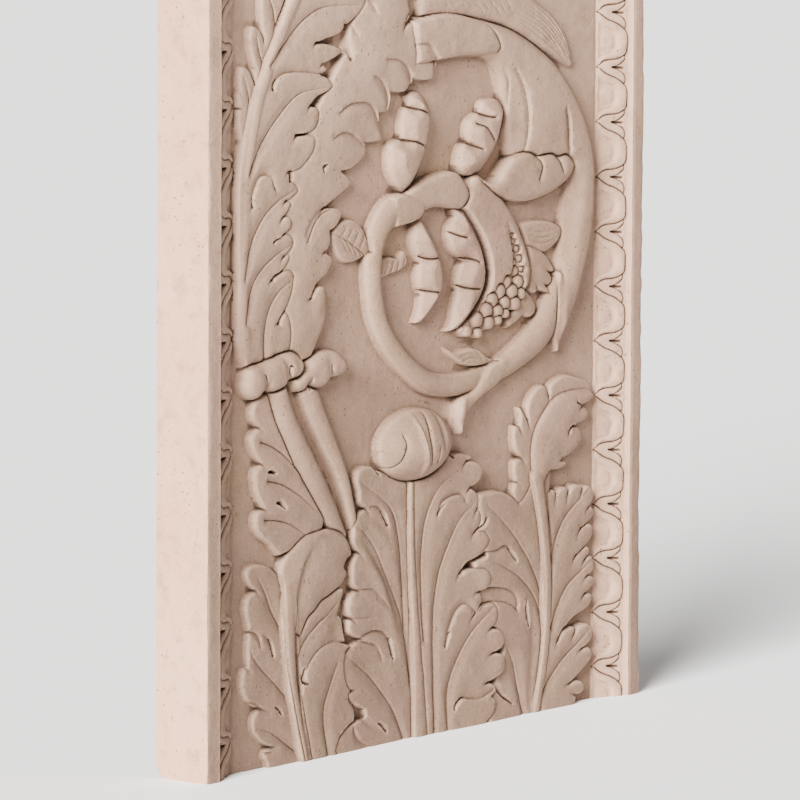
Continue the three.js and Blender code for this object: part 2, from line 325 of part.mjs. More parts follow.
// feathered tail and body above the scroll
F(6, [[302, 640, 2], [302, 720, 2], [374, 720, 2], [402, 692], [434, 670], [464, 650], [490, 636], [507, 623], [517, 610], [523, 597], [525, 583], [518, 584], [507, 588, 2], [482, 600], [442, 618], [402, 630]], { dome: 3, dw: 12, er: 7, ed: 4 });
G([0.3, 1.1, 1.1, 0.4], [0.8, 1.2, 1.2, 0.8], [[434.5, 634], [473, 614], [501.5, 597], [517, 585]], { v: [1.6] });
G([0.3, 1.1, 1.1, 0.4], [0.8, 1.2, 1.2, 0.8], [[435.5, 636.5], [475, 617.5], [502.5, 598], [517, 586]], { v: [1.6] });
G([0.3, 1.1, 1.1, 0.4], [0.8, 1.2, 1.2, 0.8], [[436.5, 639], [477.5, 621], [504, 599], [518, 586.5]], { v: [1.6] });
G([0.3, 1.1, 1.1, 0.4], [0.8, 1.2, 1.2, 0.8], [[444.5, 641.5], [480, 622.5], [505.5, 603], [518.5, 587]], { v: [1.6] });
G([0.3, 1.1, 1.1, 0.4], [0.8, 1.2, 1.2, 0.8], [[445.5, 643.5], [483, 626], [507, 604], [519, 587.5]], { v: [1.6] });
G([0.3, 1.1, 1.1, 0.4], [0.8, 1.2, 1.2, 0.8], [[454.5, 646], [485.5, 627], [508.5, 607.5], [520, 588]], { v: [1.6] });
G([0.3, 1.1, 1.1, 0.4], [0.8, 1.2, 1.2, 0.8], [[456, 648.5], [488.5, 630.5], [510, 609], [520.5, 588.5]], { v: [1.6] });
G([0.3, 1.1, 1.1, 0.4], [0.8, 1.2, 1.2, 0.8], [[457.5, 651], [492.5, 633.5], [512.5, 610], [522, 589]], { v: [1.6] });
G([0.5, 0.9, 0.3], [0.9, 1.3, 0.9], [[335, 652], [339.5, 649.5], [343.5, 649]]);
G([0.5, 0.9, 0.3], [0.9, 1.3, 0.9], [[343, 654], [347, 651.5], [351, 650.5]]);
G([0.5, 0.9, 0.3], [0.9, 1.3, 0.9], [[351, 656], [355, 653.5], [359, 652]]);
G([0.5, 0.9, 0.3], [0.9, 1.3, 0.9], [[359, 649.5], [363.5, 647], [367.5, 644.5]]);
G([0.5, 0.9, 0.3], [0.9, 1.3, 0.9], [[367, 651.5], [371, 649], [375.5, 646.5]]);
G([0.5, 0.9, 0.3], [0.9, 1.3, 0.9], [[375, 653.5], [379, 651], [383, 648]]);
G([0.5, 0.9, 0.3], [0.9, 1.3, 0.9], [[383.5, 646.5], [387.5, 644], [391.5, 640.5]]);
G([0.5, 0.9, 0.3], [0.9, 1.3, 0.9], [[391, 648.5], [395, 646], [399.5, 642]]);
G([0.5, 0.9, 0.3], [0.9, 1.3, 0.9], [[399, 651], [403, 648.5], [407.5, 644]]);
G([0.5, 0.9, 0.3], [0.9, 1.3, 0.9], [[407.5, 644], [411.5, 641.5], [416, 636.5]]);
G([0.5, 0.9, 0.3], [0.9, 1.3, 0.9], [[415, 646], [419, 643.5], [423.5, 638]]);
G([0.5, 0.9, 0.3], [0.9, 1.3, 0.9], [[423, 648], [427, 645.5], [431, 639.5]]);
// lower stem
S([9, 11, 14, 16, 17], [11, 11.5, 12, 12, 12], [[388, 314.5], [420.5, 318.5], [455, 332], [483, 348], [506.5, 379]], { q: 2.2 });
// scroll, outer ring
F(11.5, [[295, 598.5, 2], [295, 641.5, 2], [335, 641.5], [365, 638.5], [395, 632.5], [435, 621.5], [475, 602.5], [506.5, 580.5], [532.5, 550.5], [546.5, 525.5], [554.5, 500.5], [556.5, 475.5], [555.5, 450.5], [551.5, 425.5], [543.5, 401], [533.5, 376], [523.5, 358], [514.5, 344], [509.5, 332], [503.5, 325, 2], [498, 334], [497, 348], [497, 363], [499, 379], [503, 393], [505.5, 409], [508.5, 430.5], [511.5, 450.5], [515.5, 468.5], [518.5, 482.5], [517.5, 494.5, 2], [495, 492.5], [465, 495.5], [431, 498.5, 2], [427, 510.5], [421, 535.5], [421, 556.5], [415, 574.5], [405, 592.5], [391, 600.5, 2], [355, 602.5]], { dome: 2.5, dw: 10, er: 12, ed: 7.5, m: 1, b: [[503.5, 334.5, -4, 15]] });
F(11.5, [[503.5, 399], [500, 386], [499, 366], [498, 348], [499, 336], [503, 326, 2], [507.5, 335], [509.5, 346], [512.5, 359], [515.5, 376], [513.5, 391]], { dome: 1.5, er: 3, ed: 2, mx: 1, b: [[503.5, 334.5, -4, 15]] });
G([3, 4, 4, 3, 1], [7, 8, 8, 7, 5], [[526.5, 477.5], [519.5, 454.5], [514.5, 424.5], [510.5, 399.5], [506.5, 374.5]], { soft: 1 });
G([3, 4, 4, 3], [8, 16, 18, 14], [[406.5, 596.5], [429.5, 570.5], [437.5, 546], [434, 517]], { soft: 1 });
R([[447.5, 511.5], [453.5, 527], [456, 542.5], [453, 560.5], [446, 574.5], [435, 587.5]], 3, 10);
R([[419.5, 561], [416.5, 579], [406.5, 591.5]], 2.5, 8);
Rr([[419.5, 590.5], [428, 575.5], [427, 555]], 1.5, 6);
R([[515, 498.5], [514, 516], [513, 533], [509, 546]], 3.5, 10);
G([-1, -1.5, -1.5], [4, 5, 4], [[512.5, 400.5], [507.5, 371], [510, 340]], { soft: 1 });
// inner ring
S([6, 12, 14, 13, 11.5, 11, 11, 11, 11, 11, 10.5, 10, 9], [11, 13, 13, 12.5, 12, 12, 12, 12, 12, 12, 11, 9, 5], [[299, 471.5], [281.5, 475], [261.5, 472], [244.5, 456], [238, 432.5], [238, 409], [245, 381], [260, 358], [284, 336], [315, 317], [348, 310.5], [380.5, 311], [414, 318.5]], { q: 2.3, m: 1 });
F(10.5, [[432, 328.5, 2], [416, 328.5], [404, 324.5], [396, 318.5], [389, 311.5], [382, 305.5], [374, 301.5], [364, 299.5], [358, 296.5], [354, 290.5], [354, 282.5], [356, 273.5], [359, 265.5, 2], [363, 266.5], [364, 274.5], [367, 281.5], [374, 287.5], [385, 293.5], [398, 299.5], [414, 306], [430, 316.5, 2]], { dome: 2, dw: 8, er: 5, ed: 3.5, mx: 1 });
G([-2, -3, -1], [6, 7, 5], [[361, 293], [358, 287], [361, 279]], { soft: 1 });
// body of the split fruit
F(11.5, [[357, 468.5, 2], [369, 486.5], [380, 497.5], [395, 488.5], [415, 475.5], [433, 458.5], [445, 441.5], [454, 424.5], [460, 406], [458, 392], [452, 385, 1], [441, 379], [423, 367], [400, 356], [375, 353], [361, 355], [360, 363], [380, 381], [390, 401], [385, 430.5]], { dome: 2.5, dw: 9, er: 9, ed: 5 });
G([0.5, 3, 4, 4, 4], [2, 6, 9, 14, 18], [[421.5, 451], [433, 426], [436, 406], [421, 386], [379, 363]], { flat: 1 });
O([430, 438.5], 2.7560000000000002, 2.3920000000000003, 10.8, { n: 2.2, q: -15, m: 0.5, b: 7 });
O([433, 432.5], 3.18, 2.7600000000000002, 11, { n: 2.2, q: -15, m: 0.5, b: 7 });
O([438, 425.5], 4.24, 3.68, 11.5, { n: 2.2, q: -15, m: 0.5, b: 7 });
O([433, 421.5], 3.18, 2.7600000000000002, 11, { n: 2.2, q: -15, m: 0.5, b: 7 });
O([442, 416.5], 4.24, 3.68, 11.5, { n: 2.2, q: -15, m: 0.5, b: 7 });
O([434, 413.5], 4.24, 3.68, 11.5, { n: 2.2, q: -15, m: 0.5, b: 7 });
O([436, 405.5], 5.83, 5.0600000000000005, 12.25, { n: 2.2, q: -15, m: 0.5, b: 7 });
O([445, 406.5], 3.71, 3.22, 11.25, { n: 2.2, q: -15, m: 0.5, b: 7 });
O([424, 396.5], 7.95, 6.9, 13.25, { n: 2.2, q: -15, m: 0.5, b: 7 });
O([441, 395.5], 7.42, 6.44, 13, { n: 2.2, q: -15, m: 0.5, b: 7 });
O([414, 389.5], 8.48, 7.36, 13.5, { n: 2.2, q: -15, m: 0.5, b: 7 });
O([432, 387.5], 8.48, 7.36, 13.5, { n: 2.2, q: -15, m: 0.5, b: 7 });
O([446, 384.5], 6.36, 5.5200000000000005, 12.5, { n: 2.2, q: -15, m: 0.5, b: 7 });
O([403, 382.5], 8.48, 7.36, 13.5, { n: 2.2, q: -15, m: 0.5, b: 7 });
O([422, 378.5], 7.42, 6.44, 13, { n: 2.2, q: -15, m: 0.5, b: 7 });
O([437, 376.5], 7.42, 6.44, 13, { n: 2.2, q: -15, m: 0.5, b: 7 });
O([396, 373.5], 8.48, 7.36, 13.5, { n: 2.2, q: -15, m: 0.5, b: 7 });
O([412, 371.5], 7.42, 6.44, 13, { n: 2.2, q: -15, m: 0.5, b: 7 });
O([424, 368.5], 5.300000000000001, 4.6000000000000005, 12, { n: 2.2, q: -15, m: 0.5, b: 7 });
O([382, 366.5], 8.48, 7.36, 13.5, { n: 2.2, q: -15, m: 0.5, b: 7 });
O([399, 362.5], 7.42, 6.44, 13, { n: 2.2, q: -15, m: 0.5, b: 7 });
O([413, 363.5], 5.300000000000001, 4.6000000000000005, 12, { n: 2.2, q: -15, m: 0.5, b: 7 });
O([368, 357.5], 6.36, 5.5200000000000005, 12.5, { n: 2.2, q: -15, m: 0.5, b: 7 });
O([384, 354.5], 5.83, 5.0600000000000005, 12.25, { n: 2.2, q: -15, m: 0.5, b: 7 });
// sheath 3 rims: sheath 2 and sheath 1 over it
F(12, [[277.5, 488, 2], [304.5, 497], [334.5, 502], [350.5, 501], [362, 493], [369, 483], [367, 474], [358, 467, 2], [344.5, 469], [324.5, 472], [299.5, 469, 2]], { dome: 1.5, er: 6, ed: 4 });
F(13, [[259, 485, 2], [273, 488], [289, 484], [301, 479], [304, 471], [297, 464, 2], [285, 461], [273, 460], [263, 459, 2]], { dome: 1, er: 4, ed: 3, mx: 1 });
R([[311.5, 462], [304, 471], [301, 479], [290, 485], [274, 488]], 0.01, 1);
G([0.6, 1.5, 1.5, 0.8], [3, 4, 4, 3], [[304, 471], [325, 472.5], [341.5, 469.5], [359.5, 459]], { v: [0.8] });
// pods
POD([[259, 531, 2], [258, 512], [265, 499], [277, 488, 2], [290, 494], [302, 506], [311, 520], [317, 536], [319, 550], [316, 563], [307, 573], [296, 576], [288, 573], [287, 564, 1], [280, 560], [276, 547], [277, 536, 1], [264, 534]], [[[275, 535], [292, 532], [308, 526]], [[286, 563], [298, 560], [310, 556]]]);
POD([[356, 512], [357, 503], [364, 497], [376, 496, 2], [388, 499], [402, 508], [413, 519], [420, 532], [424, 545], [424, 555], [416, 561], [402, 562], [392, 560], [388, 551, 1], [380, 549], [371, 543], [369, 534], [371, 526, 1], [361, 523]], [[[369, 525], [377, 522], [384, 519]], [[380, 542], [392, 537], [402, 526]], [[388, 550], [397, 547], [404, 546]]]);
POD([[380, 496, 2], [395, 489], [407, 490], [416, 499], [428, 508], [444, 512], [456, 511], [466, 507, 1], [476, 508], [488, 508], [497, 504, 1], [508, 506], [517, 502], [522, 495], [518, 486], [508, 479], [492, 473], [472, 469], [455, 467], [436, 468], [420, 472], [405, 478], [392, 487]], [[[464, 508], [471, 498], [466, 486]], [[497, 505], [499, 499], [502, 491]]], { h: 14, sl: -0.02, er: 7, ed: 5, lin: 0, dome: 3 });
POD([[303, 463, 2], [315, 454], [326, 441], [334, 427], [338, 412], [337, 398], [330, 387], [318, 378], [304, 371], [296, 371, 2], [303, 382], [306, 396, 1], [302, 403], [300, 412], [304, 424, 1], [296, 436], [292, 447], [295, 458]], [[[302, 430], [312, 427], [326, 427]], [[304, 400], [314, 398], [326, 396]]]);
POD([[350, 468, 2], [364, 466], [378, 453], [390, 438], [398, 422], [401, 407], [398, 393], [388, 380], [374, 369], [358, 361], [342, 359, 2], [350, 368], [352, 380], [358, 395, 1], [356, 402], [360, 412], [366, 420, 1], [350, 430], [344, 442], [345, 452], [352, 460]], [[[356, 424], [372, 422], [382, 418]], [[356, 400], [368, 396], [384, 394]], [[345, 448], [354, 444], [362, 442]]]);
// small leaves
F(6, [[181, 458.5, 2], [190, 467.5], [203, 470.5], [215, 467.5], [225, 459.5], [231, 449.5], [233, 439.5, 2], [224, 435.5], [210, 432.5], [198, 433.5], [189, 440.5], [183, 450.5]], { dome: 1.5 });
V([[226, 438.5], [206.5, 450], [183.5, 460.5]], { d: 1.2 });
G([0.8, 0.8, 0.3], [1, 1, 0.8], [[192.5, 456.5], [197.5, 460.5], [200, 465.5]]);
G([0.8, 0.8, 0.3], [1, 1, 0.8], [[192.5, 455.5], [198, 448.5], [201, 442.5]]);
G([0.8, 0.8, 0.3], [1, 1, 0.8], [[201, 452], [206, 457.5], [209, 462.5]]);
G([0.8, 0.8, 0.3], [1, 1, 0.8], [[201, 451], [206, 444.5], [208, 440]]);
G([0.8, 0.8, 0.3], [1, 1, 0.8], [[210.5, 447.5], [215, 454.5], [218, 459.5]]);
G([0.8, 0.8, 0.3], [1, 1, 0.8], [[210.5, 446.5], [214.5, 440.5], [215.5, 437.5]]);
G([0.8, 0.8, 0.3], [1, 1, 0.8], [[219.5, 443], [224, 451.5], [227.5, 456.5]]);
G([0.8, 0.8, 0.3], [1, 1, 0.8], [[219.5, 442], [223, 436.5], [223, 435]]);
F(5.5, [[248.5, 432.5, 2], [264.5, 432.5], [274.5, 430.5], [280.5, 436.5], [286.5, 433.5], [286.5, 424.5], [277.5, 419.5], [264.5, 417.5], [248.5, 414.5, 2]], { dome: 1 });
G([1.4, 1.2, 0.4], [1.2, 1.2, 1], [[255.5, 417.5], [259, 424.5], [261, 430.5]]);
G([1.4, 1.2, 0.4], [1.2, 1.2, 1], [[263.5, 417.5], [267, 424.5], [269.5, 430.5]]);
G([1.4, 1.2, 0.4], [1.2, 1.2, 1], [[271.5, 417.5], [275, 424.5], [277, 430.5]]);
G([1.4, 1.2, 0.4], [1.2, 1.2, 1], [[282, 417], [283, 424.5], [285, 430.5]]);
F(6, [[343, 344.5, 2], [352, 340.5], [362, 339.5], [372, 340.5], [383, 340.5], [393, 337.5], [402, 331.5], [417, 326.5, 2], [402, 324.5], [382, 324.5], [366, 327.5], [356, 332.5], [348, 338.5]], { dome: 1.5 });
G([0.7, 0.8, 0.4], [1, 1.1, 1], [[360.5, 333.5], [374, 336.5], [390, 333.5]]);
G([0.7, 0.8, 0.4], [1, 1.1, 1], [[364.5, 329.5], [378, 332.5], [394.5, 329.5]]);
G([0.7, 0.8, 0.4], [1, 1.1, 1], [[386.5, 337.5], [392, 332.5], [395.5, 327.5]]);
F(6, [[450, 447.5, 2], [472, 447.5], [487, 446.5], [499, 443.5], [508, 439.5], [510, 433.5], [505, 426.5], [494, 420.5], [482, 417.5], [472, 420.5], [460, 426.5, 2]], { dome: 1.5 });
G([0.6, 1, 0.4], [1, 1.2, 1], [[462, 439.5], [481.5, 437], [502, 437.5]]);
G([0.6, 1, 0.4], [1, 1.2, 1], [[462, 435.5], [481.5, 432], [502, 433.5]]);
G([0.6, 1, 0.4], [1, 1.2, 1], [[462, 431.5], [482, 427], [502, 429.5]]);
F(6.5, [[461.5, 426, 2], [476.5, 421], [486.5, 416], [494.5, 408], [499.5, 400], [493.5, 399, 1], [496.5, 391], [489.5, 387, 1], [492.5, 380], [485.5, 382], [475.5, 385, 1], [469.5, 382], [461.5, 386, 2], [465.5, 405]], { dome: 1.5, to: [466, 404.5], cl: 10 });
F(6.5, [[458.5, 386, 2], [467.5, 377], [472.5, 370], [469.5, 363], [461.5, 361], [454.5, 365, 1], [446.5, 360], [434.5, 355], [428.5, 355], [434.5, 363], [444.5, 372]], { dome: 1.5 });
// leaf B
F(8, [[121.5, 350, 2], [150.5, 355, 2], [158.5, 367], [169.5, 386], [170.5, 400], [168.5, 414], [159.5, 415], [150.5, 406, 1], [157.5, 418], [171.5, 426], [179.5, 438], [169.5, 445, 1], [176.5, 452], [176.5, 463, 2], [185.5, 467], [192.5, 476], [185.5, 482], [167.5, 483, 1], [179.5, 489], [202.5, 500], [203.5, 506], [191.5, 514, 2], [204.5, 515], [217.5, 521], [226.5, 531], [222.5, 537, 2], [236.5, 536], [248.5, 538], [245.5, 550], [242.5, 561, 2], [254.5, 562], [258.5, 572], [257.5, 579, 2], [279.5, 577], [289.5, 584], [290.5, 588, 2], [309.5, 585], [321.5, 588], [327.5, 601, 2], [329.5, 642, 2], [299.5, 640], [279.5, 635, 1], [285.5, 646], [282.5, 662], [283.5, 720, 2], [224.5, 720, 2], [221.5, 668, 2], [203.5, 640], [195.5, 616, 2], [149.5, 560], [117.5, 500], [111.5, 400]], { dome: 3, dw: 16, to: [135, 420], cl: 8, b: [[245, 610, 2.5, 40], [190, 560, 1.5, 30]] });
V([[143.5, 455.5], [158, 474.5], [177.5, 481], [187.5, 479]], { d: 1.2 });
R([[168, 484], [159, 482], [148, 474.5], [140.5, 462.5]], 1.5, 6);
E([[165.5, 515.5], [164.5, 519.5], [169.5, 521.5]], [1.4, 2, 0.8], [3, 7, 8, 8]);
E([[150.5, 407], [152.5, 412], [159, 417]], [1.6, 1.4, 1], [3, 7, 8, 8]);
R([[225.5, 533], [214.5, 539.5], [204, 545.5], [190.5, 548.5], [179, 545.5]], 3, 12);
R([[249, 540], [243, 555], [235, 566.5], [221, 572.5], [200.5, 572.5], [186.5, 567.5]], 3, 12);
R([[253, 561], [256.5, 570], [254.5, 578.5], [245.5, 588.5], [234, 594.5]], 3, 12);
R([[281, 577], [288, 583], [288.5, 590], [281.5, 599.5], [267, 606.5], [251, 608.5]], 3, 12);
R([[321.5, 588], [327, 600], [323, 609], [311.5, 617.5], [297, 618.5]], 3, 12);
R([[212.5, 630.5], [208, 637], [203.5, 641]], 2, 7);
R([[237, 649.5], [233, 657.5], [226, 662]], 2, 8);
E([[293.5, 654], [282.5, 645], [278.5, 636]], [1.4, 1.6, 1.6], [4, 5, 5]);
// sheath over the outer ring
F(13, [[293, 601, 2], [289, 638.5, 2], [323, 642.5], [353, 640.5], [383, 633.5], [398, 627], [408, 616], [411, 608], [405, 603], [393, 603], [363, 604], [321, 602, 2]], { dome: 1.5, er: 5, ed: 3.5 });
R([[322.5, 588], [323.5, 600.5], [317, 610], [306.5, 618], [293.5, 618.5]], 3, 12);
// leaf A
F(6.5, [[57, 480, 2], [57, 545], [53, 560, 1], [53, 568], [54, 578, 1], [53, 586], [55, 594, 1], [55, 606], [58, 614], [67, 610], [76, 596, 2], [75, 612, 1], [69, 630], [68, 642], [72, 648], [81, 644], [87, 636, 1], [84, 652], [83, 672], [85, 720, 2], [141, 720, 2], [101, 640], [76, 580]], { cl: 8, to: [68, 520], dome: 1.5 });
V([[72, 555.5], [69.5, 575], [66, 592], [60.5, 605]], { d: 1.5 });
V([[97.5, 599], [84.5, 618], [79, 632], [76.5, 641]], { d: 1.5 });
V([[111.5, 629], [104, 645], [100, 660], [93, 674], [91, 700]], { d: 1.5 });
R([[72, 648], [79.5, 646.5], [86, 640]], 1.5, 5);
F(9, [[60, 355.5, 2], [54, 385.5], [50, 420.5], [48, 450.5], [48, 490.5], [51, 520], [58, 552], [68, 582], [83, 610], [101, 640], [126, 670], [148, 720, 2], [238, 720, 2], [224, 670], [222, 658], [210, 648], [195, 640, 2], [186, 634], [170, 631], [155, 628, 1], [173, 626], [190, 620], [182, 614], [164, 609, 1], [170, 604], [162, 600, 2], [170, 597], [177, 590], [170, 585], [156, 581], [147, 574, 1], [156, 572], [159, 566], [155, 556], [144, 551], [128, 549, 1], [140, 549], [151, 547], [152, 540], [146, 530], [134, 521], [119, 519, 1], [119, 511, 2], [127, 508], [132, 502], [124, 496.5], [115, 493.5, 1], [121, 492.5], [120, 488.5], [109, 479.5, 1], [117, 480.5], [121, 475.5], [119, 470.5], [112, 465.5, 1], [121, 463.5], [125, 457.5], [122, 451.5], [112, 445.5, 1], [119, 447.5], [119, 442.5], [112, 435.5], [96, 427.5, 1], [110, 432.5], [121, 433.5], [126, 427.5], [123, 415.5], [117, 404.5], [106, 389.5, 1], [110, 395.5], [116, 396.5], [121, 387.5], [122, 375.5], [119, 363.5], [114, 355.5, 2]], { to: [74, 400], cl: 9, dome: 1.5, dw: 8, b: [[167, 590, 1, 12], [149, 540, 1.5, 14], [117, 475, 1.5, 12]] });
S([9, 11, 12, 12], [9, 11, 11, 10.5], [[69, 352], [59.5, 390.5], [58.5, 450.5], [61, 500.5]], { q: 2.2, mx: 1 });
S([6, 6, 6, 7], [11, 11.5, 11.5, 11.5], [[62.5, 520.5], [74, 575.5], [99.5, 626.5], [135.5, 684.5]], { q: 2.2, mx: 1, bb: 8 });
V([[92.5, 612.5], [115.5, 632.5], [139.5, 649.5], [167.5, 658.5], [218.5, 657]]);
V([[65, 520.5], [81.5, 545.5], [105.5, 568.5], [132.5, 585.5], [169, 588.5]]);
V([[59, 430.5], [67.5, 458.5], [83.5, 480.5], [104, 494.5], [129.5, 503]]);
V([[61, 392.5], [67.5, 418.5], [79.5, 434.5], [98, 446.5], [123.5, 456]]);
V([[86.5, 358.5], [86.5, 382.5], [93.5, 402.5], [106, 416.5], [122.5, 424]]);
R([[67.5, 491.5], [69.5, 503.5], [77.5, 515.5], [85.5, 518.5], [92.5, 515.5], [98.5, 504.5]], 3, 10);
E([[98.5, 505.5], [95.5, 510.5], [92.5, 515.5]], [1.6, 1.2, 0.8], [3, 7, 8, 8]);
E([[68.5, 492.5], [67.5, 496.5], [67.5, 500.5]], [1.8, 1.6, 1], [3, 7, 8, 8]);
R([[95.5, 592.5], [101.5, 600.5], [115.5, 604.5], [139.5, 603.5], [164, 600]], 3, 10);
E([[95.5, 591.5], [94.5, 595.5], [99.5, 600.5]], [1.8, 2, 1], [3, 7, 8, 8]);
E([[126.5, 550], [134.5, 550], [144.5, 551]], [1.8, 1, 0.8], [3, 7, 8, 8]);
E([[96.5, 459.5], [101, 461.5], [106, 462.5]], [1.8, 1, 0.8], [3, 7, 8, 8]);
E([[97, 427], [98.5, 430], [106, 432]], [1.8, 1.6, 1], [3, 7, 8, 8]);
E([[105.5, 388], [106.5, 393], [114, 399]], [1.8, 1.6, 1.2], [3, 7, 8, 8]);
E([[154.5, 628], [164, 628], [177, 626]], [1.8, 1, 1.4], [3, 7, 8, 8]);
E([[121, 519], [122, 515], [121, 511]], [2.5, 2.5, 2.5], [3, 7, 8, 8]);
E([[169, 609], [171, 604], [172.5, 599]], [2.4, 3, 1.5], [3, 7, 8, 8]);
G([5, 6, 5], [4, 5, 3], [[195.5, 640], [197.5, 625], [202.5, 611.5]], { flat: 1 });
// collars
F(12, [[122, 338], [124, 330], [130, 326], [138, 326], [144, 331, 1], [150, 328], [160, 326], [168, 328], [176, 335, 1], [183, 334], [191, 335], [197, 340], [198, 347], [193, 353], [186, 357], [175, 359], [162, 358], [148, 354], [138, 347], [128, 342]], { dome: 4, dw: 7, er: 8, ed: 8, m: 2 });
F(13, [[58, 344], [60, 352], [67, 356], [80, 357], [95, 360], [110, 363], [123, 363], [132, 359], [137, 352], [136, 344], [130, 339], [122, 338], [115, 336], [113, 333], [105, 330], [96, 329], [89, 332], [86, 336, 1], [82, 330], [74, 325], [66, 326], [60, 331], [57, 338]], { dome: 4, dw: 7, er: 8, ed: 8, m: 2 });
E([[80.5, 346.5], [84, 340], [86, 330]], [1, 1.6, 1.8], [4, 7, 7]);
G([1, 1.5, 1], [5, 7, 6], [[76.5, 358], [80.5, 351], [81.5, 344]], { soft: 1 });
G([1, 2.2, 2.5, 2], [2.5, 4, 5, 4], [[99.5, 361.5], [108.5, 357.5], [112.5, 351.5], [113.5, 345.5]], { soft: 1 });
E([[118.5, 350], [115.5, 351], [115, 345], [119.5, 337.5]], [0.7, 1.2, 1.6, 1.2], [2, 5, 6, 5]);
G([0.6, 1.2, 0.6], [3, 4, 3], [[127, 346], [125, 355], [118, 357]], { soft: 1 });
E([[173, 346], [173, 341], [179, 334]], [1, 1.6, 1.2], [4, 6, 5]);
E([[145, 338], [145.5, 332.5], [146, 327]], [1, 1.5, 1.3], [4, 5, 5]);
G([1, 1.8, 1], [4, 6, 4], [[172, 358], [171, 351], [172, 344]], { soft: 1 });

// ---- leaf-and-dart moulding, mirrored left and right, one pattern per pitch ----
function plainMoulding(m) {             // m from the outer edge
  if (m <= BAND) return SINK;
  if (m < BAND + 3.5) { const t = (m - BAND) / 3.5; return SINK - 5 * Math.sqrt(1 - (1 - t) * (1 - t)); }
  if (m < BAND + MOULD) {
    const t = (m - BAND - 3.5) / (MOULD - 3.5);
    return SINK - 5 - (SINK - 5 - FILLET) * t;
  }
  return 0;
}
for (let j = 0; j < NZ; j++)
  for (let i = 0; i < NX; i++) {
    const m = Math.min(i * CX, WIDTH - i * CX), id = j * NX + i;
    if (m <= BAND + MOULD) field[id] = Math.max(plainMoulding(m), m > BAND + MOULD - 3 ? field[id] : 0);
  }
function mouldingLeaf(left, zd, top) {
  const P = (m, z, s) => [left ? m : WIDTH - m, zd + z, s ?? 0];
  const on = (x) => plainMoulding(Math.min(x, WIDTH - x));
  if (!top) {                            // the dart between two leaves, split at its middle
    F(1.0, [P(49, -8, 2), P(24, -18, 2), P(22, -13), P(22.5, -9), P(25, -5.5), P(29, -3), P(35, -0.5, 1), P(29, 1.2),
      P(25, 4), P(22.3, 7), P(23, 11, 2), P(49, 8, 2)], { on, dome: 0.8, dw: 4, er: 2, ed: 1.2, m: 1.2 });
    return;
  }
  // the leaf lying over it
  F(2.2, [P(49.5, 1, 2), P(47, 4.5), P(41, 7), P(31, 7.5), P(25, 9.8), P(22, 13), P(21.2, 20), P(21.5, 29), P(24, 33.5),
    P(31, 39), P(41, 43.5), P(49.5, 50, 2), P(49.5, 25)], { on, dome: 0.6, dw: 4, er: 1.8, ed: 1.2, m: 1.2 });
  F(0.1, [P(49, 43, 2), P(43, 37.5), P(37, 34.5), P(32.5, 31), P(30, 25.5), P(30.5, 18), P(35, 13), P(42, 11),
    P(49, 7, 2), P(49, 25)], { on, dome: 0, er: 1, ed: 0, m: 0 });
  G([2, 4.5, 3.5], [0.8, 1.8, 2.6], [P(36, 0), P(30, -0.8), P(24, -1.5)], { lo: 5 });
}
for (const top of [false, true])
  for (let k = -1; k * PITCH < HEIGHT; k++)
    for (const left of [true, false]) mouldingLeaf(left, FIRST_DART + k * PITCH, top);

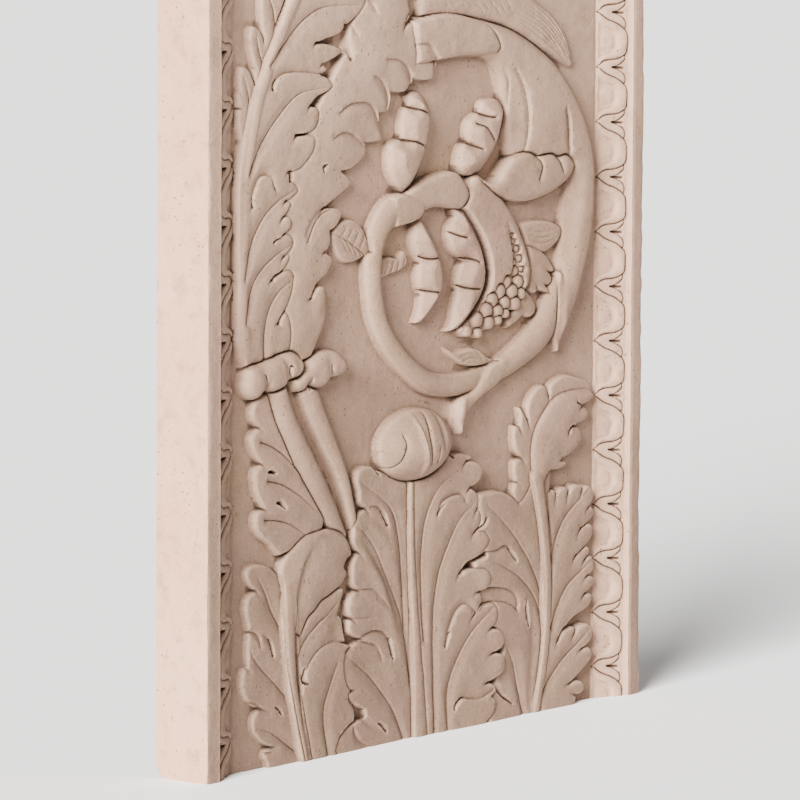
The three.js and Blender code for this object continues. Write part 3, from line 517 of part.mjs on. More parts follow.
// ---- facets: start from two triangles and keep adding the worst point ----
function facets(limit) {
  const px = [], pz = [], tri = [], twin = [], far = [], err = [], place = [], heap = [];
  let fresh = [];
  const point = (x, z) => { px.push(x); pz.push(z); return px.length - 1; };
  const turn = (ax, az, bx, bz, cx, cz) => (bx - cx) * (az - cz) - (bz - cz) * (ax - cx);
  const swap = (i, j) => {
    const a = heap[i], b = heap[j];
    heap[i] = b; heap[j] = a; place[a] = j; place[b] = i;
  };
  const up = (j) => { while (j > 0) { const i = (j - 1) >> 1; if (err[heap[i]] >= err[heap[j]]) break; swap(i, j); j = i; } };
  const down = (i) => {
    for (;;) {
      let j = 2 * i + 1;
      if (j >= heap.length) return;
      if (j + 1 < heap.length && err[heap[j + 1]] > err[heap[j]]) j++;
      if (err[heap[i]] >= err[heap[j]]) return;
      swap(i, j); i = j;
    }
  };
  const drop = (t) => {
    const i = place[t];
    if (i < 0) { const k = fresh.indexOf(t); if (k >= 0) fresh.splice(k, 1); return; }
    const last = heap.length - 1;
    if (i !== last) { swap(i, last); heap.pop(); place[t] = -1; up(i); down(i); } else { heap.pop(); place[t] = -1; }
  };
  const face = (a, b, c, ab, bc, ca, e = tri.length) => {
    tri[e] = a; tri[e + 1] = b; tri[e + 2] = c;
    twin[e] = ab; twin[e + 1] = bc; twin[e + 2] = ca;
    if (ab >= 0) twin[ab] = e;
    if (bc >= 0) twin[bc] = e + 1;
    if (ca >= 0) twin[ca] = e + 2;
    place[e / 3] = -1;
    fresh.push(e / 3);
    return e;
  };
  // worst grid point of one triangle
  const measure = (t) => {
    const a = tri[3 * t], b = tri[3 * t + 1], c = tri[3 * t + 2];
    const ax = px[a], az = pz[a], bx = px[b], bz = pz[b], cx = px[c], cz = pz[c];
    const x0 = Math.min(ax, bx, cx), x1 = Math.max(ax, bx, cx), z0 = Math.min(az, bz, cz), z1 = Math.max(az, bz, cz);
    const area = turn(ax, az, bx, bz, cx, cz);
    const ha = field[az * NX + ax] / area, hb = field[bz * NX + bx] / area, hc = field[cz * NX + cx] / area;
    let worst = 0, wx = 0, wz = 0;
    for (let z = z0; z <= z1; z++) {
      let open = false;
      for (let x = x0; x <= x1; x++) {
        const w0 = turn(bx, bz, cx, cz, x, z), w1 = turn(cx, cz, ax, az, x, z), w2 = turn(ax, az, bx, bz, x, z);
        if (w0 >= 0 && w1 >= 0 && w2 >= 0) {
          open = true;
          const d = Math.abs(ha * w0 + hb * w1 + hc * w2 - field[z * NX + x]);
          if (d > worst) { worst = d; wx = x; wz = z; }
        } else if (open) break;
      }
    }
    if ((wx === ax && wz === az) || (wx === bx && wz === bz) || (wx === cx && wz === cz)) worst = 0;
    far[t] = [wx, wz];
    err[t] = worst;
    heap.push(t); place[t] = heap.length - 1; up(heap.length - 1);
  };
  const settle = () => { for (const t of fresh) measure(t); fresh = []; };
  // flip an edge if the triangles across it would be better the other way
  const check = (a) => {
    const b = twin[a];
    if (b < 0) return;
    const a0 = a - (a % 3), b0 = b - (b % 3);
    const al = a0 + ((a + 1) % 3), ar = a0 + ((a + 2) % 3), bl = b0 + ((b + 2) % 3), br = b0 + ((b + 1) % 3);
    const p0 = tri[ar], pr = tri[a], pl = tri[al], p1 = tri[bl];
    const dx = px[p0] - px[p1], dz = pz[p0] - pz[p1], ex = px[pr] - px[p1], ez = pz[pr] - pz[p1];
    const fx = px[pl] - px[p1], fz = pz[pl] - pz[p1];
    const dp = dx * dx + dz * dz, ep = ex * ex + ez * ez, fp = fx * fx + fz * fz;
    if (!(dx * (ez * fp - ep * fz) - dz * (ex * fp - ep * fx) + dp * (ex * fz - ez * fx) < 0)) return;
    const hal = twin[al], har = twin[ar], hbl = twin[bl], hbr = twin[br];
    drop(a0 / 3); drop(b0 / 3);
    const t0 = face(p0, p1, pl, -1, hbl, hal, a0), t1 = face(p1, p0, pr, t0, har, hbr, b0);
    check(t0 + 1); check(t1 + 2);
  };
  const onEdge = (pn, a) => {
    const a0 = a - (a % 3), al = a0 + ((a + 1) % 3), ar = a0 + ((a + 2) % 3);
    const p0 = tri[ar], pr = tri[a], pl = tri[al], hal = twin[al], har = twin[ar], b = twin[a];
    if (b < 0) {
      const t0 = face(pn, p0, pr, -1, har, -1, a0), t1 = face(p0, pn, pl, t0, -1, hal);
      check(t0 + 1); check(t1 + 2);
      return;
    }
    const b0 = b - (b % 3), bl = b0 + ((b + 2) % 3), br = b0 + ((b + 1) % 3), p1 = tri[bl], hbl = twin[bl], hbr = twin[br];
    drop(b0 / 3);
    const t0 = face(p0, pr, pn, har, -1, -1, a0), t1 = face(pr, p1, pn, hbr, -1, t0 + 1, b0);
    const t2 = face(p1, pl, pn, hbl, -1, t1 + 1), t3 = face(pl, p0, pn, hal, t0 + 2, t2 + 1);
    check(t0); check(t1); check(t2); check(t3);
  };
  const q0 = point(0, 0), q1 = point(NX - 1, 0), q2 = point(0, NZ - 1), q3 = point(NX - 1, NZ - 1);
  const first = face(q3, q0, q2, -1, -1, -1);
  face(q0, q3, q1, first, -1, -1);
  settle();
  while (tri.length / 3 < limit && err[heap[0]] > 0.05) {
    const t = heap[0];
    drop(t);
    const e = 3 * t, a = tri[e], b = tri[e + 1], c = tri[e + 2], [x, z] = far[t], pn = point(x, z);
    if (turn(px[a], pz[a], px[b], pz[b], x, z) === 0) onEdge(pn, e);
    else if (turn(px[b], pz[b], px[c], pz[c], x, z) === 0) onEdge(pn, e + 1);
    else if (turn(px[c], pz[c], px[a], pz[a], x, z) === 0) onEdge(pn, e + 2);
    else {
      const h0 = twin[e], h1 = twin[e + 1], h2 = twin[e + 2];
      const t0 = face(a, b, pn, h0, -1, -1, e), t1 = face(b, c, pn, h1, -1, t0 + 1), t2 = face(c, a, pn, h2, t0 + 2, t1 + 1);
      check(t0); check(t1); check(t2);
    }
    settle();
  }
  return { px, pz, tri };
}

// ---- the solid ----
const near = facets(FACES);
const pos = [], faces = [];
const vertex = (x, y, z) => { pos.push([x, y, z]); return pos.length - 1; };
near.px.forEach((x, k) => vertex(x * CX, SINK - field[near.pz[k] * NX + x], near.pz[k] * CZ));
for (let e = 0; e < near.tri.length; e += 3) {
  const a = near.tri[e], b = near.tri[e + 1], c = near.tri[e + 2];
  const area = (near.px[b] - near.px[a]) * (near.pz[c] - near.pz[a]) - (near.px[c] - near.px[a]) * (near.pz[b] - near.pz[a]);
  faces.push(area > 0 ? [a, b, c] : [a, c, b]);
}
const edge = (keep, key) => near.px.map((_, k) => k).filter(keep).sort((a, b) => key(a) - key(b));
const low = edge((k) => near.pz[k] === 0, (k) => near.px[k]);
const high = edge((k) => near.pz[k] === NZ - 1, (k) => near.px[k]);
const leftEdge = edge((k) => near.px[k] === 0, (k) => near.pz[k]);
const rightEdge = edge((k) => near.px[k] === NX - 1, (k) => near.pz[k]);
// back outline seen from the side: underside, rounded lower back edge, flat back, top
const back = [];
for (let k = 0; k <= 6; k++) {
  const a = (k / 6) * Math.PI / 2;
  back.push([THICK - BACK_ROUND + BACK_ROUND * Math.sin(a), BACK_ROUND - BACK_ROUND * Math.cos(a)]);
}
back.push([THICK, HEIGHT]);
const bl = back.map(([y, z]) => vertex(0, y, z)), br = back.map(([y, z]) => vertex(WIDTH, y, z));
for (let k = 0; k + 1 < back.length; k++) faces.push([bl[k], bl[k + 1], br[k + 1]], [bl[k], br[k + 1], br[k]]);
// end cuts: a straight row behind the carving, then flat to the back
function endCut(row, backLeft, backRight, upward) {
  const mid = row.map((k, i) => (i === 0 || i === row.length - 1 ? k : vertex(pos[k][0], SINK + 4, pos[k][2])));
  const put = (a, b, c) => { if (a !== b && b !== c && a !== c) faces.push(upward ? [a, b, c] : [a, c, b]); };
  for (let i = 0; i + 1 < row.length; i++) { put(row[i], row[i + 1], mid[i + 1]); put(row[i], mid[i + 1], mid[i]); }
  const half = mid.length >> 1;
  for (let i = 0; i + 1 < mid.length; i++) put(mid[i], mid[i + 1], i < half ? backLeft : backRight);
  put(mid[half], backRight, backLeft);
}
endCut(low, bl[0], br[0], false);
endCut(high, bl[back.length - 1], br[back.length - 1], true);
// long sides
function longSide(front, rear, right) {
  const put = (a, b, c) => faces.push(right ? [a, b, c] : [a, c, b]);
  for (let i = 0; i + 1 < front.length; i++) put(front[i], rear[rear.length - 1], front[i + 1]);
  for (let i = 0; i + 1 < rear.length; i++) put(front[0], rear[i], rear[i + 1]);
}
longSide(leftEdge, bl, false);
longSide(rightEdge, br, true);

// centre on the underside of the whole
let y0 = 1e9, y1 = -1e9;
for (const q of pos) { y0 = Math.min(y0, q[1]); y1 = Math.max(y1, q[1]); }
const geometry = new THREE.BufferGeometry();
geometry.setAttribute("position", new THREE.Float32BufferAttribute(pos.flatMap(([x, y, z]) => [x - WIDTH / 2, y - (y0 + y1) / 2, z]), 3));
geometry.setIndex(faces.flat());
geometry.computeVertexNormals();

const stone = new THREE.MeshStandardMaterial({ color: STONE, roughness: 0.92, metalness: 0 });
const panel = new THREE.Mesh(geometry, stone);
panel.name = "relief_panel";
const group = new THREE.Group();
group.name = "stone_relief_panel";
group.add(panel);
export default group;
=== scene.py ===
import math
import bpy
import numpy as np
from mathutils import Matrix, Vector


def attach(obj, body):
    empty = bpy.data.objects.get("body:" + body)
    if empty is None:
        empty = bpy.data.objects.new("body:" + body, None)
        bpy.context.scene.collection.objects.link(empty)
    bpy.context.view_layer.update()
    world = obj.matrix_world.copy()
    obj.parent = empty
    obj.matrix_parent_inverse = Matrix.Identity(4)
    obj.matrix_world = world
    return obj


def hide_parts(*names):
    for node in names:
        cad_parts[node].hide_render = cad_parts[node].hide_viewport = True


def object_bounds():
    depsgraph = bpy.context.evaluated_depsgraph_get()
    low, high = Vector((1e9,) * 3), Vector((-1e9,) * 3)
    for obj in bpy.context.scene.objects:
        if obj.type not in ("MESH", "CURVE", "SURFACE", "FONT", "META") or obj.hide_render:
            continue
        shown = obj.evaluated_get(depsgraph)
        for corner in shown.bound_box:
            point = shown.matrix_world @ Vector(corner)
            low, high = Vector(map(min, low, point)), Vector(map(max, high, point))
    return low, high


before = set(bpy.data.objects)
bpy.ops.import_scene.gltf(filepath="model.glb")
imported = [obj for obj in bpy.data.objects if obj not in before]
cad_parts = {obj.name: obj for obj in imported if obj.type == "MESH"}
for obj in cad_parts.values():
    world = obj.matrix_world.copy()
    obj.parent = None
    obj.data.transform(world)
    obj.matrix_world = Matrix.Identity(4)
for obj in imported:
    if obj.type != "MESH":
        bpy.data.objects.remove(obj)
cad_low, cad_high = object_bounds()

# ---- sizes of the panel, millimetres: X right, Y to the back, Z up ----
WIDTH, HEIGHT, THICK = 617.0, 700.0, 58.0
SINK, BAND, MOULD, FILLET = 17.5, 17.0, 33.0, 0.6
PITCH, FIRST_DART, BACK_ROUND = 50.0, 29.0, 15.0
STEP = 0.75
NX, NZ = int(round(WIDTH / STEP)) + 1, int(round(HEIGHT / STEP)) + 1
CX, CZ = WIDTH / (NX - 1), HEIGHT / (NZ - 1)
SOFT = max(STEP, 0.9)                   # width over which an edge steps down

field = np.zeros((NZ, NX), np.float32)  # height above the carved ground
GX = (np.arange(NX) * CX).astype(np.float32)
GZ = (np.arange(NZ) * CZ).astype(np.float32)


# ---- curves ----
def along(values, t):
    v = np.asarray(values, np.float32)
    n = len(v) - 1
    if n < 1:
        return np.full(np.shape(t), v[0], np.float32)
    f = np.clip(t, 0, 1) * n
    i = np.minimum(np.floor(f).astype(int), n - 1)
    u = f - i
    a, b, c, d = v[np.maximum(i - 1, 0)], v[i], v[i + 1], v[np.minimum(i + 2, n)]
    return 0.5 * (2 * b + (c - a) * u + (2 * a - 5 * b + 4 * c - d) * u * u + (3 * b - a - 3 * c + d) * u ** 3)


def curve(p, step):
    xs, zs = [q[0] for q in p], [q[1] for q in p]
    rough = sum(math.hypot(xs[i + 1] - xs[i], zs[i + 1] - zs[i]) for i in range(len(p) - 1))
    m = max(6, math.ceil(rough / step))
    t = np.arange(m + 1) / m
    return np.stack([along(xs, t), along(zs, t), t], 1)


def outline(p, step):
    n = len(p)
    corners = [i for i, q in enumerate(p) if len(q) > 2 and q[2]]
    first = corners[0] if corners else 0
    run, out = [p[first]], []
    for k in range(1, n + 1):
        q = p[(first + k) % n]
        run.append(q)
        if (len(q) > 2 and q[2]) or k == n:
            out.append(curve(run, step)[:-1])
            run = [q]
    return np.concatenate(out)


def window(c, reach):
    i0 = max(0, int((c[:, 0].min() - reach) / CX))
    i1 = min(NX, int(math.ceil((c[:, 0].max() + reach) / CX)) + 1)
    j0 = max(0, int((c[:, 1].min() - reach) / CZ))
    j1 = min(NZ, int(math.ceil((c[:, 1].max() + reach) / CZ)) + 1)
    return slice(j0, max(j0, j1)), slice(i0, max(i0, i1))


def nearest(c, win, closed=False):
    """share of the way and signed distance to the curve, over a window"""
    x, z = np.meshgrid(GX[win[1]], GZ[win[0]])
    best = np.full(x.shape, 1e18, np.float32)
    t = np.zeros(x.shape, np.float32)
    side = np.ones(x.shape, np.float32)
    inside = np.zeros(x.shape, bool)
    pts = c.astype(np.float32)
    if closed:
        pts = np.concatenate([pts, pts[:1]])
    for a, b in zip(pts[:-1], pts[1:]):
        dx, dz = b[0] - a[0], b[1] - a[1]
        ll = dx * dx + dz * dz
        if ll < 1e-9:
            continue
        rx, rz = x - a[0], z - a[1]
        u = np.clip((rx * dx + rz * dz) / ll, 0, 1)
        ex, ez = rx - u * dx, rz - u * dz
        q = ex * ex + ez * ez
        hit = q < best
        best[hit] = q[hit]
        if closed:
            if dz != 0:
                inside ^= ((a[1] > z) != (b[1] > z)) & (x < dx * (z - a[1]) / dz + a[0])
        else:
            t[hit] = a[2] + u[hit] * (b[2] - a[2])
            side[hit] = np.where(dx * ez[hit] - dz * ex[hit] >= 0, 1, -1)
    d = np.sqrt(best)
    return x, z, t, (np.where(inside, d, -d) if closed else side * d)


# ---- primitives of the carving ----
def lay(win, di, top, moat, over):
    h0 = field[win]
    m = np.clip(di / SOFT + 0.5, 0, 1)
    low = np.minimum(h0, np.maximum(h0 - moat, -0.3))
    if over:
        new = h0 + (np.maximum(h0, top) - h0) * m
        field[win] = np.where(di > -SOFT, new, h0)
    else:
        new = low + (top - low) * m
        q = 1 + di / 3
        skirt = np.minimum(h0, np.maximum(h0 - moat * q * q, -0.3))
        field[win] = np.where(di > -SOFT, new, np.where(di > -3, skirt, h0))


def blade(h, p, o=None):
    o = o or {}
    c = outline(p, 2.5)[:, :2]
    win = window(c, 4)
    x, z, _, di = nearest(c, win, True)
    er, ed, dome, dw = o.get("er", 2.6), o.get("ed", 1.7), o.get("dome", 1.2), o.get("dw", 9)
    ins = np.maximum(di, 0)
    q = np.maximum(0, 1 - ins / er)
    top = h + dome * (1 - np.exp(-ins / dw)) - ed * (q if o.get("lin") else q ** 3) + o.get("sl", 0) * (x - c[:, 0].mean())
    if "on" in o:
        top = top + o["on"](x)
    for bx, bz, dh, r in o.get("b", []):
        top = top + dh * np.exp(-((x - bx) ** 2 + (z - bz) ** 2) / (r * r))
    lay(win, di, top, o.get("m", 0.8), o.get("mx"))
    if "to" in o:
        notches(p, o["to"], o.get("cl", 14))


def notches(p, to, s):
    for k, q in enumerate(p):
        if len(q) < 3 or q[2] != 1:
            continue
        a, b = p[k - 1], p[(k + 1) % len(p)]
        tx, tz = to[0] - q[0], to[1] - q[1]
        tl = math.hypot(tx, tz) or 1
        ix, iz = q[0] - (a[0] + b[0]) / 2, q[1] - (a[1] + b[1]) / 2
        il = math.hypot(ix, iz) or 1
        ix, iz = ix / il + 0.8 * tx / tl, iz / il + 0.8 * tz / tl
        l = math.hypot(ix, iz)
        ix, iz = ix / l, iz / l
        cut([3.2, 1.3, 0.1], [2.2, 3, 4], [[q[0] - ix, q[1] - iz], [q[0] + ix * s * 0.5, q[1] + iz * s * 0.5],
            [q[0] + 0.6 * ix * s + 0.4 * tx * s / tl, q[1] + 0.6 * iz * s + 0.4 * tz * s / tl]])


def cut(d, w, p, o=None):
    o = o or {}
    c = curve(p, 2)
    v, lo = o.get("v", w), o.get("lo", -0.3)
    reach = max(max(w), max(v)) * (2.2 if o.get("soft") else 1) + 0.5
    win = window(c, reach)
    x, z, t, e = nearest(c, win)
    u = np.abs(e) / np.maximum(0.35, np.where(e >= 0, along(w, t), along(v, t)))
    if o.get("soft"):
        g = np.exp(-u * u)
    elif o.get("flat"):
        g = np.clip((1 - u) / 0.6, 0, 1)
        g = g * g * (3 - 2 * g)
    else:
        g = np.where(u < 1, (1 - u) ** 2 * (1 + 0.6 * u), 0)
    g = np.where(np.abs(e) > reach, 0, g)
    depth = along(d, t) * g
    h0 = field[win]
    field[win] = np.where(depth > 0, np.minimum(h0, np.maximum(h0 - depth, lo)), h0 - depth)


def stem(r, h, p, o=None):
    o = o or {}
    c = curve(p, 2.5)
    win = window(c, max(r) + 4)
    x, z, t, e = nearest(c, win)
    rad, foot, n = np.maximum(along(r, t), 0.4), o.get("bb", 0), o.get("q", 2.2)
    v = np.minimum(1, np.abs(e) / rad)
    top = foot + (along(h, t) - foot) * np.maximum(0, 1 - v ** n) ** (1 / n)
    lay(win, rad - np.abs(e), top, o.get("m", 1.5), o.get("mx"))


def boss(at, ra, rb, h, o=None):
    o = o or {}
    q, n, foot = math.radians(o.get("q", 0)), o.get("n", 2), o.get("b", 0)
    win = window(np.array([at], float), max(ra, rb) + 4)
    x, z = np.meshgrid(GX[win[1]], GZ[win[0]])
    dx, dz = x - at[0], z - at[1]
    u = np.abs(dx * math.cos(q) + dz * math.sin(q)) / ra
    v = np.abs(-dx * math.sin(q) + dz * math.cos(q)) / rb
    rho = (u ** n + v ** n) ** (1 / n)
    top = foot + (h - foot) * np.sqrt(np.maximum(0, 1 - np.minimum(1, rho) ** o.get("pw", 2.4)))
    lay(win, (1 - rho) * min(ra, rb), top, o.get("m", 1.2), o.get("mx"))


F, S, G, O = blade, stem, cut, boss


def V(p, o=None):                       # vein: a broad valley with a fine line in it
    d = (o or {}).get("d", 2.2)
    G([d, d, 0.6], [3, 6, 7, 5], p, {"soft": 1})
    G([1.8, 2.1, 1.8, 0.7], [1.2, 1.5, 1.5, 1.1], p)
    G([-0.5, -0.9, -0.9, -0.3], [0.4], p, {"v": [3.5, 4.5, 4.5, 3]})


def R(p, d=3, w=9):                     # rim over what lies on its left
    G([d * 0.5, d, d, d * 0.7], [w * 0.5, w, w, w * 0.6], p, {"v": [0.8]})


def Rr(p, d=3, w=9):                    # rim over what lies on its right
    G([d * 0.5, d, d, d * 0.7], [0.8], p, {"v": [w * 0.5, w, w, w * 0.6]})


def E(p, w=(1.2, 2.6, 2.8, 1.6), d=(3, 7, 8, 8)):   # eye: a deep hole between two lobes
    G(d, w, p, {"flat": 1, "lo": 1})


def POD(p, folds, o=None):
    F(13.5, p, {"dome": 2, "dw": 6, "er": 12, "ed": 8, "lin": 1, "m": 1.5, "sl": -0.08, **(o or {})})
    for c in folds:
        G([3, 3, 2.5], [1.2, 1.4, 1.2], c)
        G([2.2, 2.2, 1.8], [4, 5, 4], c)


# ---- the carving, back to front; points are x, z from the lower left corner ----
# leaf C (behind stem 1)
F(7.5, [[165, 195, 2], [108, 185, 2], [98, 195], [84, 204], [76, 215], [78, 226], [88, 228, 1], [80, 240], [76, 250], [76, 262], [84, 268, 1], [74, 280], [70, 292], [80, 300, 1], [72, 310], [75, 322], [95, 330, 2], [120, 302], [148, 260], [172, 215, 2]], {"to": [150.5, 205], "cl": 10})
V([[84, 287], [102, 280], [120, 269], [138, 253], [152, 238]])
V([[93, 252], [115, 246], [138, 234], [162, 217]])
V([[90, 218], [110, 215], [128, 209], [150.5, 196]])
E([[92, 260], [97, 260], [103, 258]], [1.2, 2, 1.2], [3, 7, 8, 8])
E([[104, 232], [110, 231], [116, 226]], [1.2, 2.4, 1.2], [3, 7, 8, 8])
# stems
S([13, 13, 12.5, 12, 11, 10], [12, 13, 13, 12, 10.5, 9], [[102, 339], [116, 306], [137, 275], [159, 245], [177, 220.5], [194, 192]], {"q": 2.3})
S([12, 11.5, 10, 8, 6.5, 5], [11, 11.5, 11.5, 10.5, 9.5, 8], [[144.5, 335.5], [158.5, 308.5], [177.5, 277], [195, 248.5], [205, 225.5], [214, 200]], {"q": 2.3})
# leaf D, left
F(4.8, [[154.5, -9, 2], [99.5, -9, 2], [95.5, 5], [91.5, 10], [93.5, 16], [103.5, 17, 1], [89.5, 23], [80, 31.5], [76, 39.5], [77, 47.5], [84.5, 53.5, 1], [71, 59.5], [63, 67.5], [60, 79.5], [63, 91.5, 1], [69, 94.5], [69, 109.5], [70, 122.5, 1], [69, 129.5], [65, 140.5], [66, 150.5], [72, 155.5], [79, 157.5, 1], [72, 162.5], [67, 169.5], [67, 176.5], [74, 180.5], [85.5, 180.5], [98.5, 176.5], [111.5, 167.5, 2], [122, 149], [129, 99], [137, 49]], {"to": [144, 19], "cl": 10, "sl": -0.012, "b": [[74, 144, 1.5, 14], [76, 104, 1.5, 14], [68, 77, 1.5, 12]]})
V([[120.5, 110], [111.5, 124.5], [101, 139.5], [91, 157.5], [81, 170.5]])
V([[131, 51], [113.5, 67.5], [93, 84.5], [76.5, 99.5], [70, 112.5]])
V([[149.5, 1], [128.5, 14], [113.5, 24], [98.5, 31.5], [81.5, 36]])
R([[86, 107.5], [84, 116.5], [77.5, 121.5], [69, 123]], 3, 8)
Rr([[88.5, 118.5], [96.5, 113.5], [101, 107.5], [103, 99.5]], 2, 8)
E([[97, 113.5], [101, 107.5], [103, 98.5]], [0.8, 1.5, 2.2], [3, 7, 8, 8])
R([[99.5, 48.5], [89.5, 53], [78, 59.5], [65, 61.5]], 2.5, 7)
E([[105.5, 52.5], [110.5, 49.5], [114.5, 45.5]], [0.8, 1.3, 1.9], [3, 7, 8, 8])
R([[72.5, 87.5], [67.5, 91.5], [64.5, 94]], 2, 6)
Rr([[91.5, 15.5], [94, 14], [102, 13]], 2, 5)
# leaf D, right
F(8, [[139.5, 60, 2], [132.5, 130], [149.5, 136], [165.5, 141], [189.5, 147, 1], [196.5, 146], [193.5, 134], [190.5, 124, 1], [197.5, 118], [201.5, 98, 2], [169.5, 94], [144.5, 66]], {"b": [[190, 110, -3.5, 14]]})
V([[134, 85.5], [139, 98], [149.5, 110], [164.5, 120], [175.5, 125], [190, 135]], {"d": 1.5})
F(8.5, [[145, -7.5, 2], [139, 40.5], [138, 60.5], [141, 71.5, 1], [145, 80.5], [153, 89.5], [163, 96.5], [175, 99.5], [189, 99.5], [205, 95.5, 2], [214, 40.5], [209, -7.5, 2]], {"b": [[157.5, 75, 1.5, 14], [199.5, 40, -2, 22]]})
V([[178.5, -5.5], [171, 35.5], [179.5, 62.5], [189.5, 82.5]], {"d": 2.5})
E([[147.5, 67.5], [142.5, 69.5], [141, 75], [143.5, 82.5]], [1, 2, 2.6, 1], [3, 7, 8, 8])
# top lobe
F(8.5, [[121, 120.5, 2], [117, 150], [111, 164], [112, 176], [121, 186], [135, 195], [149, 200], [169, 202], [185, 200], [198, 194], [206, 184], [208, 175], [202, 171], [198, 166, 1], [202, 160], [199, 154], [191, 148], [177, 142], [166, 138.5], [157, 131.5], [147, 124.5], [139, 110.5, 2]], {"dome": 4.5, "dw": 12, "ed": 3.5, "er": 5, "b": [[121.5, 175, -1.5, 14]]})
G([1.5, 2.6, 2.6, 0.6], [2, 2.5, 3, 4], [[135, 112], [132, 146], [141, 173], [160.5, 192.5]], {"soft": 1, "v": [8, 12, 14, 10]})
E([[212.5, 164.5], [199, 167]], [1.5, 1], [3, 7, 8, 8])
S([5, 5.5, 6, 7.5, 9], [10, 10.5, 11, 11.5, 10.5], [[146.5, -7.5], [135, 30.5], [124.5, 76], [120.5, 119], [123, 158.5]], {"q": 2.6, "mx": 1, "bb": 7})
G([1.8], [1.6], [[113.5, 152.5], [114.5, 120.5], [117.5, 90.5], [125, 60.5], [133.5, 30.5], [143, 0.5]])
G([1.8], [1.6], [[130, 150.5], [130, 120.5], [135, 90], [139, 60], [146, 30], [154, 0]])
# leaf F: back layer
F(6.2, [[485.5, 99.5, 2], [441.5, 204.5, 2], [444.5, 213.5, 1], [442.5, 223.5], [443.5, 232.5], [452.5, 234.5, 1], [444.5, 242.5], [441.5, 253.5], [442.5, 264.5], [450.5, 262.5, 1], [451.5, 271.5], [450.5, 280.5], [462.5, 267.5, 1], [461.5, 277.5], [465.5, 287.5], [475.5, 295.5], [485.5, 297.5], [492.5, 289.5, 1], [496.5, 296.5], [506.5, 301.5], [519.5, 303.5], [533.5, 300.5], [546.5, 296.5], [555.5, 290.5], [561.5, 280.5, 2], [501.5, 249.5], [496.5, 149.5]], {"to": [482.5, 189.5], "cl": 12})
E([[452, 280.5], [457.5, 274.5], [463.5, 267.5]], [1, 1.5, 1.2], [5, 6, 5])
E([[492.5, 295.5], [493, 286.5]], [1, 1.6], [5, 6])
# shadowed gap
F(5, [[383, 91.5, 2], [383, 127.5, 2], [451, 121.5, 2], [459.5, 107.5], [455, 91.5, 2]], {"er": 1, "ed": 0.5})
# left lobes and the lobe under the gap
F(8, [[490.5, 59.5, 2], [486, 29.5], [478, -8.5, 2], [402, -7.5, 2], [419, 40], [427.5, 70], [410.5, 86.5], [382, 100.5, 2], [382, 105.5, 2], [398, 108], [413.5, 108], [429.5, 105.5], [440, 101.5], [447.5, 96, 1], [449.5, 103], [446, 111], [435.5, 117], [419, 121], [398, 123.5], [382, 124.5, 2], [382, 156.5, 2], [382, 180.5], [382, 208.5, 2], [410.5, 209.5], [427.5, 206], [440, 200], [449.5, 193, 1], [458, 199], [465, 208], [471.5, 216.5, 2], [486, 149.5]], {"m": 1, "sl": -0.04, "b": [[420, 30, -2.5, 22]]})
V([[489.5, 75.5], [484, 109.5], [468.5, 136], [445.5, 162], [422.5, 181.5], [399.5, 197.5]])
V([[489.5, 59.5], [485, 87.5], [471, 110], [450, 127], [422.5, 140.5], [405.5, 145.5]])
V([[460, -5.5], [450.5, 25], [442, 50], [428, 70]], {"d": 2.6})
R([[443.5, 143], [437, 152], [426.5, 158.5], [411.5, 155.5], [395.5, 156.5]], 2.5, 8)
E([[432, 155], [436, 150], [440.5, 146], [444.5, 142]], [0.8, 1.8, 1.8, 1.4], [3, 7, 8, 8])
E([[461, 105], [460, 98], [461.5, 89], [464.5, 80]], [0.8, 2.2, 2.8, 1.4], [3, 7, 8, 8])
E([[415.5, 31.5], [426, 21], [440, 12]], [2, 2, 0.8], [6, 5, 2])
G([0.8, 1.5, 1.5], [5, 6, 6], [[469, 95], [471, 60], [467, 10]], {"soft": 1})
# right lobes
F(8.5, [[480.5, -8, 2], [494, 60], [498, 120], [494, 170], [491.5, 198, 2], [500, 201], [503, 195, 1], [509.5, 201], [519.5, 201], [520.5, 195, 1], [529, 202], [539.5, 201], [541.5, 196.5, 1], [548.5, 199.5], [555, 196.5], [557, 188.5], [551, 180.5, 1], [558, 176.5], [556, 169.5], [539.5, 160.5, 1], [551, 164.5], [557, 159.5], [554, 150.5], [532, 136, 1], [543.5, 142.5], [550, 143.5], [552, 137.5], [546.5, 132.5, 1], [555, 134.5], [559, 127.5], [557, 120.5], [549.5, 116.5, 1], [558, 114.5], [558, 107.5], [545.5, 99.5, 1], [555, 99.5], [556, 92.5], [548.5, 86.5], [527, 79], [507.5, 63, 1], [513.5, 69], [523, 71], [531, 72], [532, 66, 1], [539.5, 71.5], [550, 72.5], [557, 66.5], [555, 57.5], [542.5, 49.5, 1], [552, 50.5], [557, 45.5], [554, 37.5], [526, 20, 1], [537.5, 21.5], [545.5, 17.5], [545.5, 10.5], [535, 7.5, 1], [533, 0], [529, -8, 2]], {"to": [489.5, 20], "cl": 12, "sl": 0.025, "b": [[549.5, 185, 1.2, 12], [549.5, 122, 1.2, 12], [549.5, 62, 1.2, 12]]})
V([[499, 135], [503.5, 152], [514, 170], [528.5, 182.5], [552.5, 196.5]])
V([[498, 74], [507.5, 92], [520.5, 109.5], [537.5, 120.5], [555, 130.5]])
V([[486.5, 16], [499.5, 30], [515, 43], [534, 54.5], [553, 67.5]])
E([[517.5, 73], [512, 69], [508, 62]], [1.4, 1.8, 1.8], [3, 7, 8, 8])
E([[534.5, 7], [539.5, 8]], [1.5, 1], [3, 7, 8, 8])
